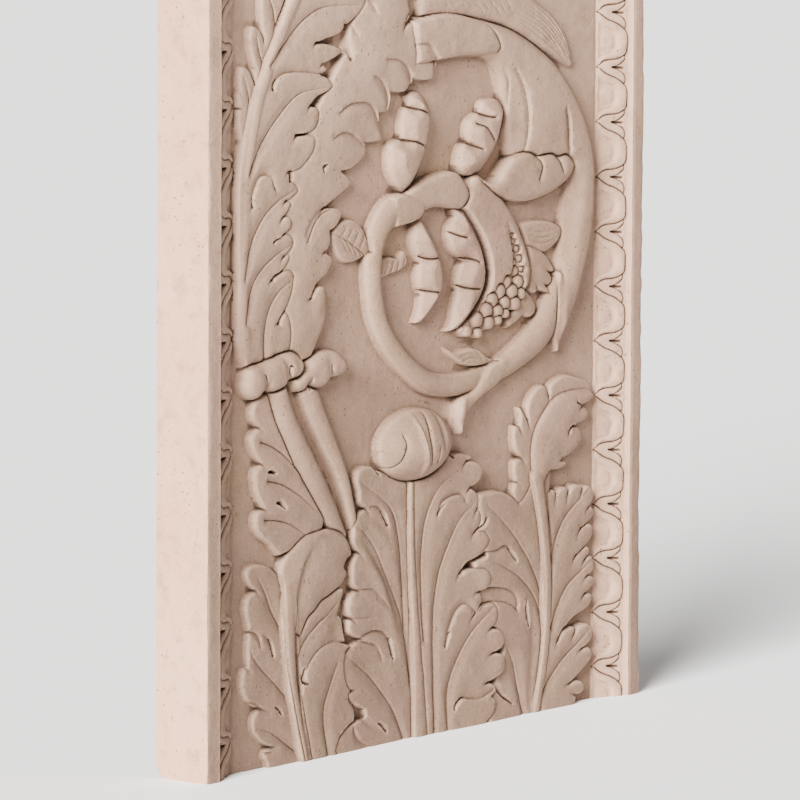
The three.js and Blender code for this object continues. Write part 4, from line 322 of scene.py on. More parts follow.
# curled top lobe
F(9, [[484, 130.5, 2], [478, 185.5], [469, 212.5], [466, 235.5], [468, 250.5], [476, 264.5], [488, 276.5], [503, 285.5], [520, 288.5], [538, 288.5], [553, 286.5], [559, 281.5], [554, 276.5], [541, 273.5, 1], [548, 270.5], [550, 264.5], [545, 259.5], [532, 256.5, 1], [538, 252.5], [540, 245.5], [536, 238.5], [526, 231.5], [512, 227.5, 1], [517, 225.5], [516, 220.5], [506, 218.5], [494, 218.5], [487, 213.5], [484, 205.5], [487, 196.5], [493, 165.5, 2]], {"dome": 4.5, "dw": 12, "ed": 3.5, "er": 5, "to": [488.5, 220], "cl": 12})
E([[529, 278], [534, 275.5], [540.5, 273.5]], [1.4, 0.8, 0.8], [5, 3, 3])
E([[515.5, 251], [519, 255], [525, 256.5], [533.5, 255.5]], [2.2, 2, 1.2, 1], [3, 7, 8, 8])
# rib of leaf F
S([4.8, 4.8, 5.5, 6, 8], [9.5, 10, 10.5, 11, 12], [[472, -7.5], [486.5, 50.5], [489.5, 105.5], [485, 160.5], [472, 215]], {"q": 2.6, "mx": 1, "bb": 7.5})
G([1.8], [1.4], [[469.5, -3.5], [481, 50.5], [485.5, 100.5], [481, 150.5], [471, 192.5], [463.5, 216.5]])
G([1.8], [1.4], [[478.5, -3.5], [490, 45.5], [496.5, 100.5], [498.5, 149.5], [487.5, 198.5]])
# leaf E, left
F(5.8, [[302, -9, 2], [201.5, -8.5, 2], [187, 2], [191, 13], [201.5, 19.5], [216, 25.5], [230.5, 26.5], [228.5, 34.5, 2], [214, 40.5], [205.5, 49.5], [209.5, 53.5, 1], [203.5, 59.5], [198, 71.5], [198, 83.5], [204.5, 91.5], [216, 95.5], [224, 97.5, 1], [207.5, 104.5], [205.5, 115.5], [209.5, 117.5, 1], [204.5, 123.5], [204.5, 135.5], [215, 142.5, 1], [209.5, 149.5], [208.5, 161.5], [211.5, 171.5], [218, 175.5, 1], [211.5, 183.5], [210.5, 193.5], [214, 203.5], [222, 210.5], [230.5, 212.5, 1], [220, 219.5], [218, 229.5], [214, 237.5], [216, 246.5], [226, 250.5], [238.5, 249.5], [249, 244.5], [261.5, 241.5], [276, 237.5], [292.5, 234, 2], [297, 179], [301, 79]], {"to": [288, 59.5], "cl": 12, "sl": -0.03, "b": [[214.5, 194.5, 1.5, 14], [216.5, 234.5, 2, 12], [212.5, 159.5, 1.5, 12], [212.5, 129.5, 1.5, 12], [205.5, 83.5, 1, 12]]})
V([[289.5, 99], [284.5, 139.5], [280, 177.5], [270.5, 204.5], [250, 221.5], [219.5, 238]])
V([[297.5, 49], [285.5, 104.5], [266.5, 141.5], [245, 175.5], [226, 193], [209.5, 201]])
G([0.5, 1.8, 1.8, 0.6], [3, 4.5, 4.5, 3], [[283.5, 94.5], [264.5, 134.5], [248, 161.5], [229.5, 181.5], [210, 188]], {"soft": 1})
G([-0.5, -1.6, -1.6, -0.5], [5, 7, 7, 5], [[266.5, 109.5], [252, 141.5], [231, 164], [210.5, 172]], {"soft": 1})
G([0.6, 1.6, 1.6, 0.6], [4, 6, 6, 4], [[279, 33.5], [256, 63.5], [233.5, 73.5], [206, 74]], {"soft": 1})
G([-0.6, -1.5, -1.5, -0.6], [4, 6, 6, 4], [[287.5, 59], [264, 111.5], [241.5, 127.5], [211.5, 130]], {"soft": 1})
G([0.6, 1.6, 1.2], [4, 6, 5], [[264.5, 184.5], [246, 202.5], [223, 209]], {"soft": 1})
V([[288, -1], [270.5, 29.5], [241.5, 59.5], [221.5, 73.5], [203, 84]])
R([[261, 195.5], [258, 204.5], [248.5, 212.5], [238, 214.5]], 3, 9)
E([[252, 208.5], [256, 203.5], [260, 197.5], [262, 194.5]], [0.8, 1.6, 2.2, 1.6], [3, 7, 8, 8])
E([[240.5, 247.5], [245.5, 244.5], [249.5, 240.5]], [0.8, 1.6, 1.4], [3, 7, 8, 8])
R([[267.5, 81.5], [264, 92.5], [255, 100.5], [240, 103.5], [224, 100.5]], 3, 9)
E([[264, 93.5], [265.5, 86.5], [267.5, 79.5], [269.5, 74.5]], [1, 2.2, 2.6, 1.6], [3, 7, 8, 8])
R([[254.5, 75.5], [249, 86.5], [240, 91.5], [216.5, 96.5], [199, 91]], 2.5, 8)
R([[261.5, 122], [250.5, 133], [237, 141], [215, 142]], 1.8, 7)
R([[241.5, 115.5], [222.5, 117], [206.5, 118]], 1.2, 5)
G([1, 2, 1.5], [2, 3, 2], [[258.5, 9.5], [242, 17.5], [228, 25.5], [207, 45.5]], {"soft": 1})
E([[248, 19.5], [254, 16.5], [260.5, 10.5]], [0.8, 2, 1.6], [3, 7, 8, 8])
E([[185, 4], [192, 15], [205.5, 23], [218, 26.5], [229, 27.5]], [0.8, 1.4, 1.4, 1.6, 0.6], [3, 5, 5, 5, 3])
R([[238, -0.5], [225, 5.5], [217, 13], [214.5, 19.5]], 2.5, 8)
# leaf E, right
F(8.5, [[299, -8.5, 2], [294.5, 119.5], [294.5, 231.5, 2], [311.5, 235.5], [329, 243], [345.5, 249], [361.5, 249], [373.5, 246], [377, 243], [369.5, 240, 1], [379, 240], [388.5, 235], [391.5, 229.5], [387.5, 221], [376, 216, 1], [383, 212], [387.5, 205], [386, 196, 1], [390.5, 190.5], [389.5, 182.5], [383, 176, 1], [394.5, 174.5], [401, 168.5], [400, 162.5], [388.5, 153.5], [376, 149], [362.5, 142, 1], [375, 143], [394.5, 141.5], [404, 135.5], [404, 129.5], [398.5, 122.5], [389.5, 120.5, 1], [392.5, 113.5], [388.5, 105.5], [383, 101, 1], [398.5, 107.5], [410, 107.5], [415.5, 101.5], [414.5, 92.5], [407, 85.5, 1], [418.5, 82.5], [424, 74.5], [420.5, 66.5], [409, 62.5, 1], [421.5, 60.5], [425, 51.5], [420.5, 42.5], [403, 36.5, 1], [411.5, 33.5], [413.5, 27.5], [408, 23.5, 2], [413.5, 18.5], [411.5, 8.5], [400, 0.5], [388.5, -7.5, 2]], {"to": [329.5, 20], "cl": 13, "sl": 0.03, "b": [[385.5, 232, 1.5, 12], [394.5, 165, 1.5, 12], [397.5, 130, 1.5, 12], [415.5, 75, 1.5, 14], [417.5, 50, 1.5, 12]]})
V([[312.5, 86], [309.5, 130], [309.5, 165], [316, 198], [333.5, 222], [357, 233]])
V([[328.5, -5.5], [325.5, 90], [331.5, 138], [347, 170], [363.5, 190.5], [380.5, 200.5]])
V([[347.5, -5.5], [346, 36], [360.5, 64.5], [382.5, 87.5], [411.5, 104.5]])
Rr([[332.5, 196], [330.5, 203], [341, 210], [360.5, 212], [367.5, 203.5]], 0.01, 1)
R([[330.5, 197], [337.5, 207], [351, 211], [362.5, 211], [367.5, 204.5]], 3, 9)
E([[339, 206], [333.5, 201], [329.5, 197]], [0.8, 1.2, 1.9], [3, 7, 8, 8])
R([[342, 79], [348, 93], [357.5, 106.5], [370, 111.5], [382.5, 102.5]], 3, 10)
E([[348, 90], [344, 84], [341, 77]], [0.8, 1.5, 2.2], [3, 7, 8, 8])
R([[355.5, 19.5], [364, 26.5], [378, 24.5], [393.5, 23.5], [409.5, 28.5]], 2.5, 8)
E([[368, 27.5], [361.5, 26.5], [355.5, 22.5], [354.5, 18.5]], [0.6, 1.5, 2, 2], [3, 7, 8, 8])
E([[397.5, 153.5], [381.5, 149.5], [370, 147], [363, 141]], [3, 2.4, 2.4, 2.2], [7, 7, 8, 8])
E([[397.5, 185.5], [392.5, 180.5], [384, 176.5]], [2.5, 2, 1], [3, 7, 8, 8])
# rib of leaf E
F(7.4, [[298.5, -8, 2], [298.5, 40], [296.5, 90], [293, 130], [291, 165], [290, 200], [290, 231, 2], [296.5, 231, 2], [297, 200], [299, 160], [303, 120], [308.5, 75], [314, 30], [318, -8, 2]], {"er": 2.5, "ed": 1.2, "dome": 1.4, "dw": 4, "m": 1.2})
# bud
O([297.5, 263], 52, 32.5, 26, {"n": 2, "pw": 2})
Rr([[247, 262.5], [248, 254], [251.5, 248], [258, 246.5], [263.5, 250.5], [267, 258], [269, 267], [267, 274.5]], 2.2, 9)
G([1.2, 2, 1.5, 2.5, 3.5, 3.5], [1, 1.2, 1.2, 1.6, 2, 1.6], [[247, 262.5], [248, 254], [251.5, 248], [258, 246.5], [263.5, 250.5], [267, 258], [269, 267], [267, 274.5]])
G([-1, -2.6, -2.6, -2.6, -1], [3, 4, 4.5, 4.5, 3], [[285, 292], [285.5, 282], [287.5, 270.5], [292, 256.5], [295, 242.5], [297, 233]])
G([1.5, 3, 3, 2], [1.3, 1.8, 1.8, 1.4], [[302, 292], [300.5, 285], [298.5, 272.5], [300.5, 259], [304, 245.5]], {"v": [1.5, 4, 4, 2]})
G([1, 2.2, 2.2, 1], [2, 4, 4, 2], [[318, 290], [319.5, 281], [321, 269], [323, 257]], {"soft": 1})
E([[312.5, 261.5], [312, 255.5], [312, 247.5]], [1, 1.6, 1.6], [2, 4, 4])
E([[245.5, 243.5], [242.5, 247.5], [239, 251.5]], [1.5, 2, 1], [6, 7, 5])
E([[350.5, 246.5], [348.5, 249.5], [351.5, 255.5]], [2, 2.2, 1], [6, 6, 4])
# feathered tail and body above the scroll
F(6, [[302, 640, 2], [302, 720, 2], [374, 720, 2], [402, 692], [434, 670], [464, 650], [490, 636], [507, 623], [517, 610], [523, 597], [525, 583], [518, 584], [507, 588, 2], [482, 600], [442, 618], [402, 630]], {"dome": 3, "dw": 12, "er": 7, "ed": 4})
G([0.3, 1.1, 1.1, 0.4], [0.8, 1.2, 1.2, 0.8], [[434.5, 634], [473, 614], [501.5, 597], [517, 585]], {"v": [1.6]})
G([0.3, 1.1, 1.1, 0.4], [0.8, 1.2, 1.2, 0.8], [[435.5, 636.5], [475, 617.5], [502.5, 598], [517, 586]], {"v": [1.6]})
G([0.3, 1.1, 1.1, 0.4], [0.8, 1.2, 1.2, 0.8], [[436.5, 639], [477.5, 621], [504, 599], [518, 586.5]], {"v": [1.6]})
G([0.3, 1.1, 1.1, 0.4], [0.8, 1.2, 1.2, 0.8], [[444.5, 641.5], [480, 622.5], [505.5, 603], [518.5, 587]], {"v": [1.6]})
G([0.3, 1.1, 1.1, 0.4], [0.8, 1.2, 1.2, 0.8], [[445.5, 643.5], [483, 626], [507, 604], [519, 587.5]], {"v": [1.6]})
G([0.3, 1.1, 1.1, 0.4], [0.8, 1.2, 1.2, 0.8], [[454.5, 646], [485.5, 627], [508.5, 607.5], [520, 588]], {"v": [1.6]})
G([0.3, 1.1, 1.1, 0.4], [0.8, 1.2, 1.2, 0.8], [[456, 648.5], [488.5, 630.5], [510, 609], [520.5, 588.5]], {"v": [1.6]})
G([0.3, 1.1, 1.1, 0.4], [0.8, 1.2, 1.2, 0.8], [[457.5, 651], [492.5, 633.5], [512.5, 610], [522, 589]], {"v": [1.6]})
G([0.5, 0.9, 0.3], [0.9, 1.3, 0.9], [[335, 652], [339.5, 649.5], [343.5, 649]])
G([0.5, 0.9, 0.3], [0.9, 1.3, 0.9], [[343, 654], [347, 651.5], [351, 650.5]])
G([0.5, 0.9, 0.3], [0.9, 1.3, 0.9], [[351, 656], [355, 653.5], [359, 652]])
G([0.5, 0.9, 0.3], [0.9, 1.3, 0.9], [[359, 649.5], [363.5, 647], [367.5, 644.5]])
G([0.5, 0.9, 0.3], [0.9, 1.3, 0.9], [[367, 651.5], [371, 649], [375.5, 646.5]])
G([0.5, 0.9, 0.3], [0.9, 1.3, 0.9], [[375, 653.5], [379, 651], [383, 648]])
G([0.5, 0.9, 0.3], [0.9, 1.3, 0.9], [[383.5, 646.5], [387.5, 644], [391.5, 640.5]])
G([0.5, 0.9, 0.3], [0.9, 1.3, 0.9], [[391, 648.5], [395, 646], [399.5, 642]])
G([0.5, 0.9, 0.3], [0.9, 1.3, 0.9], [[399, 651], [403, 648.5], [407.5, 644]])
G([0.5, 0.9, 0.3], [0.9, 1.3, 0.9], [[407.5, 644], [411.5, 641.5], [416, 636.5]])
G([0.5, 0.9, 0.3], [0.9, 1.3, 0.9], [[415, 646], [419, 643.5], [423.5, 638]])
G([0.5, 0.9, 0.3], [0.9, 1.3, 0.9], [[423, 648], [427, 645.5], [431, 639.5]])
# lower stem
S([9, 11, 14, 16, 17], [11, 11.5, 12, 12, 12], [[388, 314.5], [420.5, 318.5], [455, 332], [483, 348], [506.5, 379]], {"q": 2.2})
# scroll, outer ring
F(11.5, [[295, 598.5, 2], [295, 641.5, 2], [335, 641.5], [365, 638.5], [395, 632.5], [435, 621.5], [475, 602.5], [506.5, 580.5], [532.5, 550.5], [546.5, 525.5], [554.5, 500.5], [556.5, 475.5], [555.5, 450.5], [551.5, 425.5], [543.5, 401], [533.5, 376], [523.5, 358], [514.5, 344], [509.5, 332], [503.5, 325, 2], [498, 334], [497, 348], [497, 363], [499, 379], [503, 393], [505.5, 409], [508.5, 430.5], [511.5, 450.5], [515.5, 468.5], [518.5, 482.5], [517.5, 494.5, 2], [495, 492.5], [465, 495.5], [431, 498.5, 2], [427, 510.5], [421, 535.5], [421, 556.5], [415, 574.5], [405, 592.5], [391, 600.5, 2], [355, 602.5]], {"dome": 2.5, "dw": 10, "er": 12, "ed": 7.5, "m": 1, "b": [[503.5, 334.5, -4, 15]]})
F(11.5, [[503.5, 399], [500, 386], [499, 366], [498, 348], [499, 336], [503, 326, 2], [507.5, 335], [509.5, 346], [512.5, 359], [515.5, 376], [513.5, 391]], {"dome": 1.5, "er": 3, "ed": 2, "mx": 1, "b": [[503.5, 334.5, -4, 15]]})
G([3, 4, 4, 3, 1], [7, 8, 8, 7, 5], [[526.5, 477.5], [519.5, 454.5], [514.5, 424.5], [510.5, 399.5], [506.5, 374.5]], {"soft": 1})
G([3, 4, 4, 3], [8, 16, 18, 14], [[406.5, 596.5], [429.5, 570.5], [437.5, 546], [434, 517]], {"soft": 1})
R([[447.5, 511.5], [453.5, 527], [456, 542.5], [453, 560.5], [446, 574.5], [435, 587.5]], 3, 10)
R([[419.5, 561], [416.5, 579], [406.5, 591.5]], 2.5, 8)
Rr([[419.5, 590.5], [428, 575.5], [427, 555]], 1.5, 6)
R([[515, 498.5], [514, 516], [513, 533], [509, 546]], 3.5, 10)
G([-1, -1.5, -1.5], [4, 5, 4], [[512.5, 400.5], [507.5, 371], [510, 340]], {"soft": 1})
# inner ring
S([6, 12, 14, 13, 11.5, 11, 11, 11, 11, 11, 10.5, 10, 9], [11, 13, 13, 12.5, 12, 12, 12, 12, 12, 12, 11, 9, 5], [[299, 471.5], [281.5, 475], [261.5, 472], [244.5, 456], [238, 432.5], [238, 409], [245, 381], [260, 358], [284, 336], [315, 317], [348, 310.5], [380.5, 311], [414, 318.5]], {"q": 2.3, "m": 1})
F(10.5, [[432, 328.5, 2], [416, 328.5], [404, 324.5], [396, 318.5], [389, 311.5], [382, 305.5], [374, 301.5], [364, 299.5], [358, 296.5], [354, 290.5], [354, 282.5], [356, 273.5], [359, 265.5, 2], [363, 266.5], [364, 274.5], [367, 281.5], [374, 287.5], [385, 293.5], [398, 299.5], [414, 306], [430, 316.5, 2]], {"dome": 2, "dw": 8, "er": 5, "ed": 3.5, "mx": 1})
G([-2, -3, -1], [6, 7, 5], [[361, 293], [358, 287], [361, 279]], {"soft": 1})
# body of the split fruit
F(11.5, [[357, 468.5, 2], [369, 486.5], [380, 497.5], [395, 488.5], [415, 475.5], [433, 458.5], [445, 441.5], [454, 424.5], [460, 406], [458, 392], [452, 385, 1], [441, 379], [423, 367], [400, 356], [375, 353], [361, 355], [360, 363], [380, 381], [390, 401], [385, 430.5]], {"dome": 2.5, "dw": 9, "er": 9, "ed": 5})
G([0.5, 3, 4, 4, 4], [2, 6, 9, 14, 18], [[421.5, 451], [433, 426], [436, 406], [421, 386], [379, 363]], {"flat": 1})
O([430, 438.5], 2.7560000000000002, 2.3920000000000003, 10.8, {"n": 2.2, "q": -15, "m": 0.5, "b": 7})
O([433, 432.5], 3.18, 2.7600000000000002, 11, {"n": 2.2, "q": -15, "m": 0.5, "b": 7})
O([438, 425.5], 4.24, 3.68, 11.5, {"n": 2.2, "q": -15, "m": 0.5, "b": 7})
O([433, 421.5], 3.18, 2.7600000000000002, 11, {"n": 2.2, "q": -15, "m": 0.5, "b": 7})
O([442, 416.5], 4.24, 3.68, 11.5, {"n": 2.2, "q": -15, "m": 0.5, "b": 7})
O([434, 413.5], 4.24, 3.68, 11.5, {"n": 2.2, "q": -15, "m": 0.5, "b": 7})
O([436, 405.5], 5.83, 5.0600000000000005, 12.25, {"n": 2.2, "q": -15, "m": 0.5, "b": 7})
O([445, 406.5], 3.71, 3.22, 11.25, {"n": 2.2, "q": -15, "m": 0.5, "b": 7})
O([424, 396.5], 7.95, 6.9, 13.25, {"n": 2.2, "q": -15, "m": 0.5, "b": 7})
O([441, 395.5], 7.42, 6.44, 13, {"n": 2.2, "q": -15, "m": 0.5, "b": 7})
O([414, 389.5], 8.48, 7.36, 13.5, {"n": 2.2, "q": -15, "m": 0.5, "b": 7})
O([432, 387.5], 8.48, 7.36, 13.5, {"n": 2.2, "q": -15, "m": 0.5, "b": 7})
O([446, 384.5], 6.36, 5.5200000000000005, 12.5, {"n": 2.2, "q": -15, "m": 0.5, "b": 7})
O([403, 382.5], 8.48, 7.36, 13.5, {"n": 2.2, "q": -15, "m": 0.5, "b": 7})
O([422, 378.5], 7.42, 6.44, 13, {"n": 2.2, "q": -15, "m": 0.5, "b": 7})
O([437, 376.5], 7.42, 6.44, 13, {"n": 2.2, "q": -15, "m": 0.5, "b": 7})
O([396, 373.5], 8.48, 7.36, 13.5, {"n": 2.2, "q": -15, "m": 0.5, "b": 7})
O([412, 371.5], 7.42, 6.44, 13, {"n": 2.2, "q": -15, "m": 0.5, "b": 7})
O([424, 368.5], 5.300000000000001, 4.6000000000000005, 12, {"n": 2.2, "q": -15, "m": 0.5, "b": 7})
O([382, 366.5], 8.48, 7.36, 13.5, {"n": 2.2, "q": -15, "m": 0.5, "b": 7})
O([399, 362.5], 7.42, 6.44, 13, {"n": 2.2, "q": -15, "m": 0.5, "b": 7})
O([413, 363.5], 5.300000000000001, 4.6000000000000005, 12, {"n": 2.2, "q": -15, "m": 0.5, "b": 7})
O([368, 357.5], 6.36, 5.5200000000000005, 12.5, {"n": 2.2, "q": -15, "m": 0.5, "b": 7})
O([384, 354.5], 5.83, 5.0600000000000005, 12.25, {"n": 2.2, "q": -15, "m": 0.5, "b": 7})
# sheath 3 rims: sheath 2 and sheath 1 over it
F(12, [[277.5, 488, 2], [304.5, 497], [334.5, 502], [350.5, 501], [362, 493], [369, 483], [367, 474], [358, 467, 2], [344.5, 469], [324.5, 472], [299.5, 469, 2]], {"dome": 1.5, "er": 6, "ed": 4})
F(13, [[259, 485, 2], [273, 488], [289, 484], [301, 479], [304, 471], [297, 464, 2], [285, 461], [273, 460], [263, 459, 2]], {"dome": 1, "er": 4, "ed": 3, "mx": 1})
R([[311.5, 462], [304, 471], [301, 479], [290, 485], [274, 488]], 0.01, 1)
G([0.6, 1.5, 1.5, 0.8], [3, 4, 4, 3], [[304, 471], [325, 472.5], [341.5, 469.5], [359.5, 459]], {"v": [0.8]})
# pods
POD([[259, 531, 2], [258, 512], [265, 499], [277, 488, 2], [290, 494], [302, 506], [311, 520], [317, 536], [319, 550], [316, 563], [307, 573], [296, 576], [288, 573], [287, 564, 1], [280, 560], [276, 547], [277, 536, 1], [264, 534]], [[[275, 535], [292, 532], [308, 526]], [[286, 563], [298, 560], [310, 556]]])
POD([[356, 512], [357, 503], [364, 497], [376, 496, 2], [388, 499], [402, 508], [413, 519], [420, 532], [424, 545], [424, 555], [416, 561], [402, 562], [392, 560], [388, 551, 1], [380, 549], [371, 543], [369, 534], [371, 526, 1], [361, 523]], [[[369, 525], [377, 522], [384, 519]], [[380, 542], [392, 537], [402, 526]], [[388, 550], [397, 547], [404, 546]]])
POD([[380, 496, 2], [395, 489], [407, 490], [416, 499], [428, 508], [444, 512], [456, 511], [466, 507, 1], [476, 508], [488, 508], [497, 504, 1], [508, 506], [517, 502], [522, 495], [518, 486], [508, 479], [492, 473], [472, 469], [455, 467], [436, 468], [420, 472], [405, 478], [392, 487]], [[[464, 508], [471, 498], [466, 486]], [[497, 505], [499, 499], [502, 491]]], {"h": 14, "sl": -0.02, "er": 7, "ed": 5, "lin": 0, "dome": 3})
POD([[303, 463, 2], [315, 454], [326, 441], [334, 427], [338, 412], [337, 398], [330, 387], [318, 378], [304, 371], [296, 371, 2], [303, 382], [306, 396, 1], [302, 403], [300, 412], [304, 424, 1], [296, 436], [292, 447], [295, 458]], [[[302, 430], [312, 427], [326, 427]], [[304, 400], [314, 398], [326, 396]]])
POD([[350, 468, 2], [364, 466], [378, 453], [390, 438], [398, 422], [401, 407], [398, 393], [388, 380], [374, 369], [358, 361], [342, 359, 2], [350, 368], [352, 380], [358, 395, 1], [356, 402], [360, 412], [366, 420, 1], [350, 430], [344, 442], [345, 452], [352, 460]], [[[356, 424], [372, 422], [382, 418]], [[356, 400], [368, 396], [384, 394]], [[345, 448], [354, 444], [362, 442]]])
# small leaves
F(6, [[181, 458.5, 2], [190, 467.5], [203, 470.5], [215, 467.5], [225, 459.5], [231, 449.5], [233, 439.5, 2], [224, 435.5], [210, 432.5], [198, 433.5], [189, 440.5], [183, 450.5]], {"dome": 1.5})
V([[226, 438.5], [206.5, 450], [183.5, 460.5]], {"d": 1.2})
G([0.8, 0.8, 0.3], [1, 1, 0.8], [[192.5, 456.5], [197.5, 460.5], [200, 465.5]])
G([0.8, 0.8, 0.3], [1, 1, 0.8], [[192.5, 455.5], [198, 448.5], [201, 442.5]])
G([0.8, 0.8, 0.3], [1, 1, 0.8], [[201, 452], [206, 457.5], [209, 462.5]])
G([0.8, 0.8, 0.3], [1, 1, 0.8], [[201, 451], [206, 444.5], [208, 440]])
G([0.8, 0.8, 0.3], [1, 1, 0.8], [[210.5, 447.5], [215, 454.5], [218, 459.5]])
G([0.8, 0.8, 0.3], [1, 1, 0.8], [[210.5, 446.5], [214.5, 440.5], [215.5, 437.5]])
G([0.8, 0.8, 0.3], [1, 1, 0.8], [[219.5, 443], [224, 451.5], [227.5, 456.5]])
G([0.8, 0.8, 0.3], [1, 1, 0.8], [[219.5, 442], [223, 436.5], [223, 435]])
F(5.5, [[248.5, 432.5, 2], [264.5, 432.5], [274.5, 430.5], [280.5, 436.5], [286.5, 433.5], [286.5, 424.5], [277.5, 419.5], [264.5, 417.5], [248.5, 414.5, 2]], {"dome": 1})
G([1.4, 1.2, 0.4], [1.2, 1.2, 1], [[255.5, 417.5], [259, 424.5], [261, 430.5]])
G([1.4, 1.2, 0.4], [1.2, 1.2, 1], [[263.5, 417.5], [267, 424.5], [269.5, 430.5]])
G([1.4, 1.2, 0.4], [1.2, 1.2, 1], [[271.5, 417.5], [275, 424.5], [277, 430.5]])
G([1.4, 1.2, 0.4], [1.2, 1.2, 1], [[282, 417], [283, 424.5], [285, 430.5]])
F(6, [[343, 344.5, 2], [352, 340.5], [362, 339.5], [372, 340.5], [383, 340.5], [393, 337.5], [402, 331.5], [417, 326.5, 2], [402, 324.5], [382, 324.5], [366, 327.5], [356, 332.5], [348, 338.5]], {"dome": 1.5})
G([0.7, 0.8, 0.4], [1, 1.1, 1], [[360.5, 333.5], [374, 336.5], [390, 333.5]])
G([0.7, 0.8, 0.4], [1, 1.1, 1], [[364.5, 329.5], [378, 332.5], [394.5, 329.5]])
G([0.7, 0.8, 0.4], [1, 1.1, 1], [[386.5, 337.5], [392, 332.5], [395.5, 327.5]])
F(6, [[450, 447.5, 2], [472, 447.5], [487, 446.5], [499, 443.5], [508, 439.5], [510, 433.5], [505, 426.5], [494, 420.5], [482, 417.5], [472, 420.5], [460, 426.5, 2]], {"dome": 1.5})
G([0.6, 1, 0.4], [1, 1.2, 1], [[462, 439.5], [481.5, 437], [502, 437.5]])
G([0.6, 1, 0.4], [1, 1.2, 1], [[462, 435.5], [481.5, 432], [502, 433.5]])
G([0.6, 1, 0.4], [1, 1.2, 1], [[462, 431.5], [482, 427], [502, 429.5]])
F(6.5, [[461.5, 426, 2], [476.5, 421], [486.5, 416], [494.5, 408], [499.5, 400], [493.5, 399, 1], [496.5, 391], [489.5, 387, 1], [492.5, 380], [485.5, 382], [475.5, 385, 1], [469.5, 382], [461.5, 386, 2], [465.5, 405]], {"dome": 1.5, "to": [466, 404.5], "cl": 10})
F(6.5, [[458.5, 386, 2], [467.5, 377], [472.5, 370], [469.5, 363], [461.5, 361], [454.5, 365, 1], [446.5, 360], [434.5, 355], [428.5, 355], [434.5, 363], [444.5, 372]], {"dome": 1.5})
# leaf B
F(8, [[121.5, 350, 2], [150.5, 355, 2], [158.5, 367], [169.5, 386], [170.5, 400], [168.5, 414], [159.5, 415], [150.5, 406, 1], [157.5, 418], [171.5, 426], [179.5, 438], [169.5, 445, 1], [176.5, 452], [176.5, 463, 2], [185.5, 467], [192.5, 476], [185.5, 482], [167.5, 483, 1], [179.5, 489], [202.5, 500], [203.5, 506], [191.5, 514, 2], [204.5, 515], [217.5, 521], [226.5, 531], [222.5, 537, 2], [236.5, 536], [248.5, 538], [245.5, 550], [242.5, 561, 2], [254.5, 562], [258.5, 572], [257.5, 579, 2], [279.5, 577], [289.5, 584], [290.5, 588, 2], [309.5, 585], [321.5, 588], [327.5, 601, 2], [329.5, 642, 2], [299.5, 640], [279.5, 635, 1], [285.5, 646], [282.5, 662], [283.5, 720, 2], [224.5, 720, 2], [221.5, 668, 2], [203.5, 640], [195.5, 616, 2], [149.5, 560], [117.5, 500], [111.5, 400]], {"dome": 3, "dw": 16, "to": [135, 420], "cl": 8, "b": [[245, 610, 2.5, 40], [190, 560, 1.5, 30]]})
V([[143.5, 455.5], [158, 474.5], [177.5, 481], [187.5, 479]], {"d": 1.2})
R([[168, 484], [159, 482], [148, 474.5], [140.5, 462.5]], 1.5, 6)
E([[165.5, 515.5], [164.5, 519.5], [169.5, 521.5]], [1.4, 2, 0.8], [3, 7, 8, 8])
E([[150.5, 407], [152.5, 412], [159, 417]], [1.6, 1.4, 1], [3, 7, 8, 8])
R([[225.5, 533], [214.5, 539.5], [204, 545.5], [190.5, 548.5], [179, 545.5]], 3, 12)
R([[249, 540], [243, 555], [235, 566.5], [221, 572.5], [200.5, 572.5], [186.5, 567.5]], 3, 12)
R([[253, 561], [256.5, 570], [254.5, 578.5], [245.5, 588.5], [234, 594.5]], 3, 12)
R([[281, 577], [288, 583], [288.5, 590], [281.5, 599.5], [267, 606.5], [251, 608.5]], 3, 12)
R([[321.5, 588], [327, 600], [323, 609], [311.5, 617.5], [297, 618.5]], 3, 12)
R([[212.5, 630.5], [208, 637], [203.5, 641]], 2, 7)
R([[237, 649.5], [233, 657.5], [226, 662]], 2, 8)
E([[293.5, 654], [282.5, 645], [278.5, 636]], [1.4, 1.6, 1.6], [4, 5, 5])
# sheath over the outer ring
F(13, [[293, 601, 2], [289, 638.5, 2], [323, 642.5], [353, 640.5], [383, 633.5], [398, 627], [408, 616], [411, 608], [405, 603], [393, 603], [363, 604], [321, 602, 2]], {"dome": 1.5, "er": 5, "ed": 3.5})
R([[322.5, 588], [323.5, 600.5], [317, 610], [306.5, 618], [293.5, 618.5]], 3, 12)
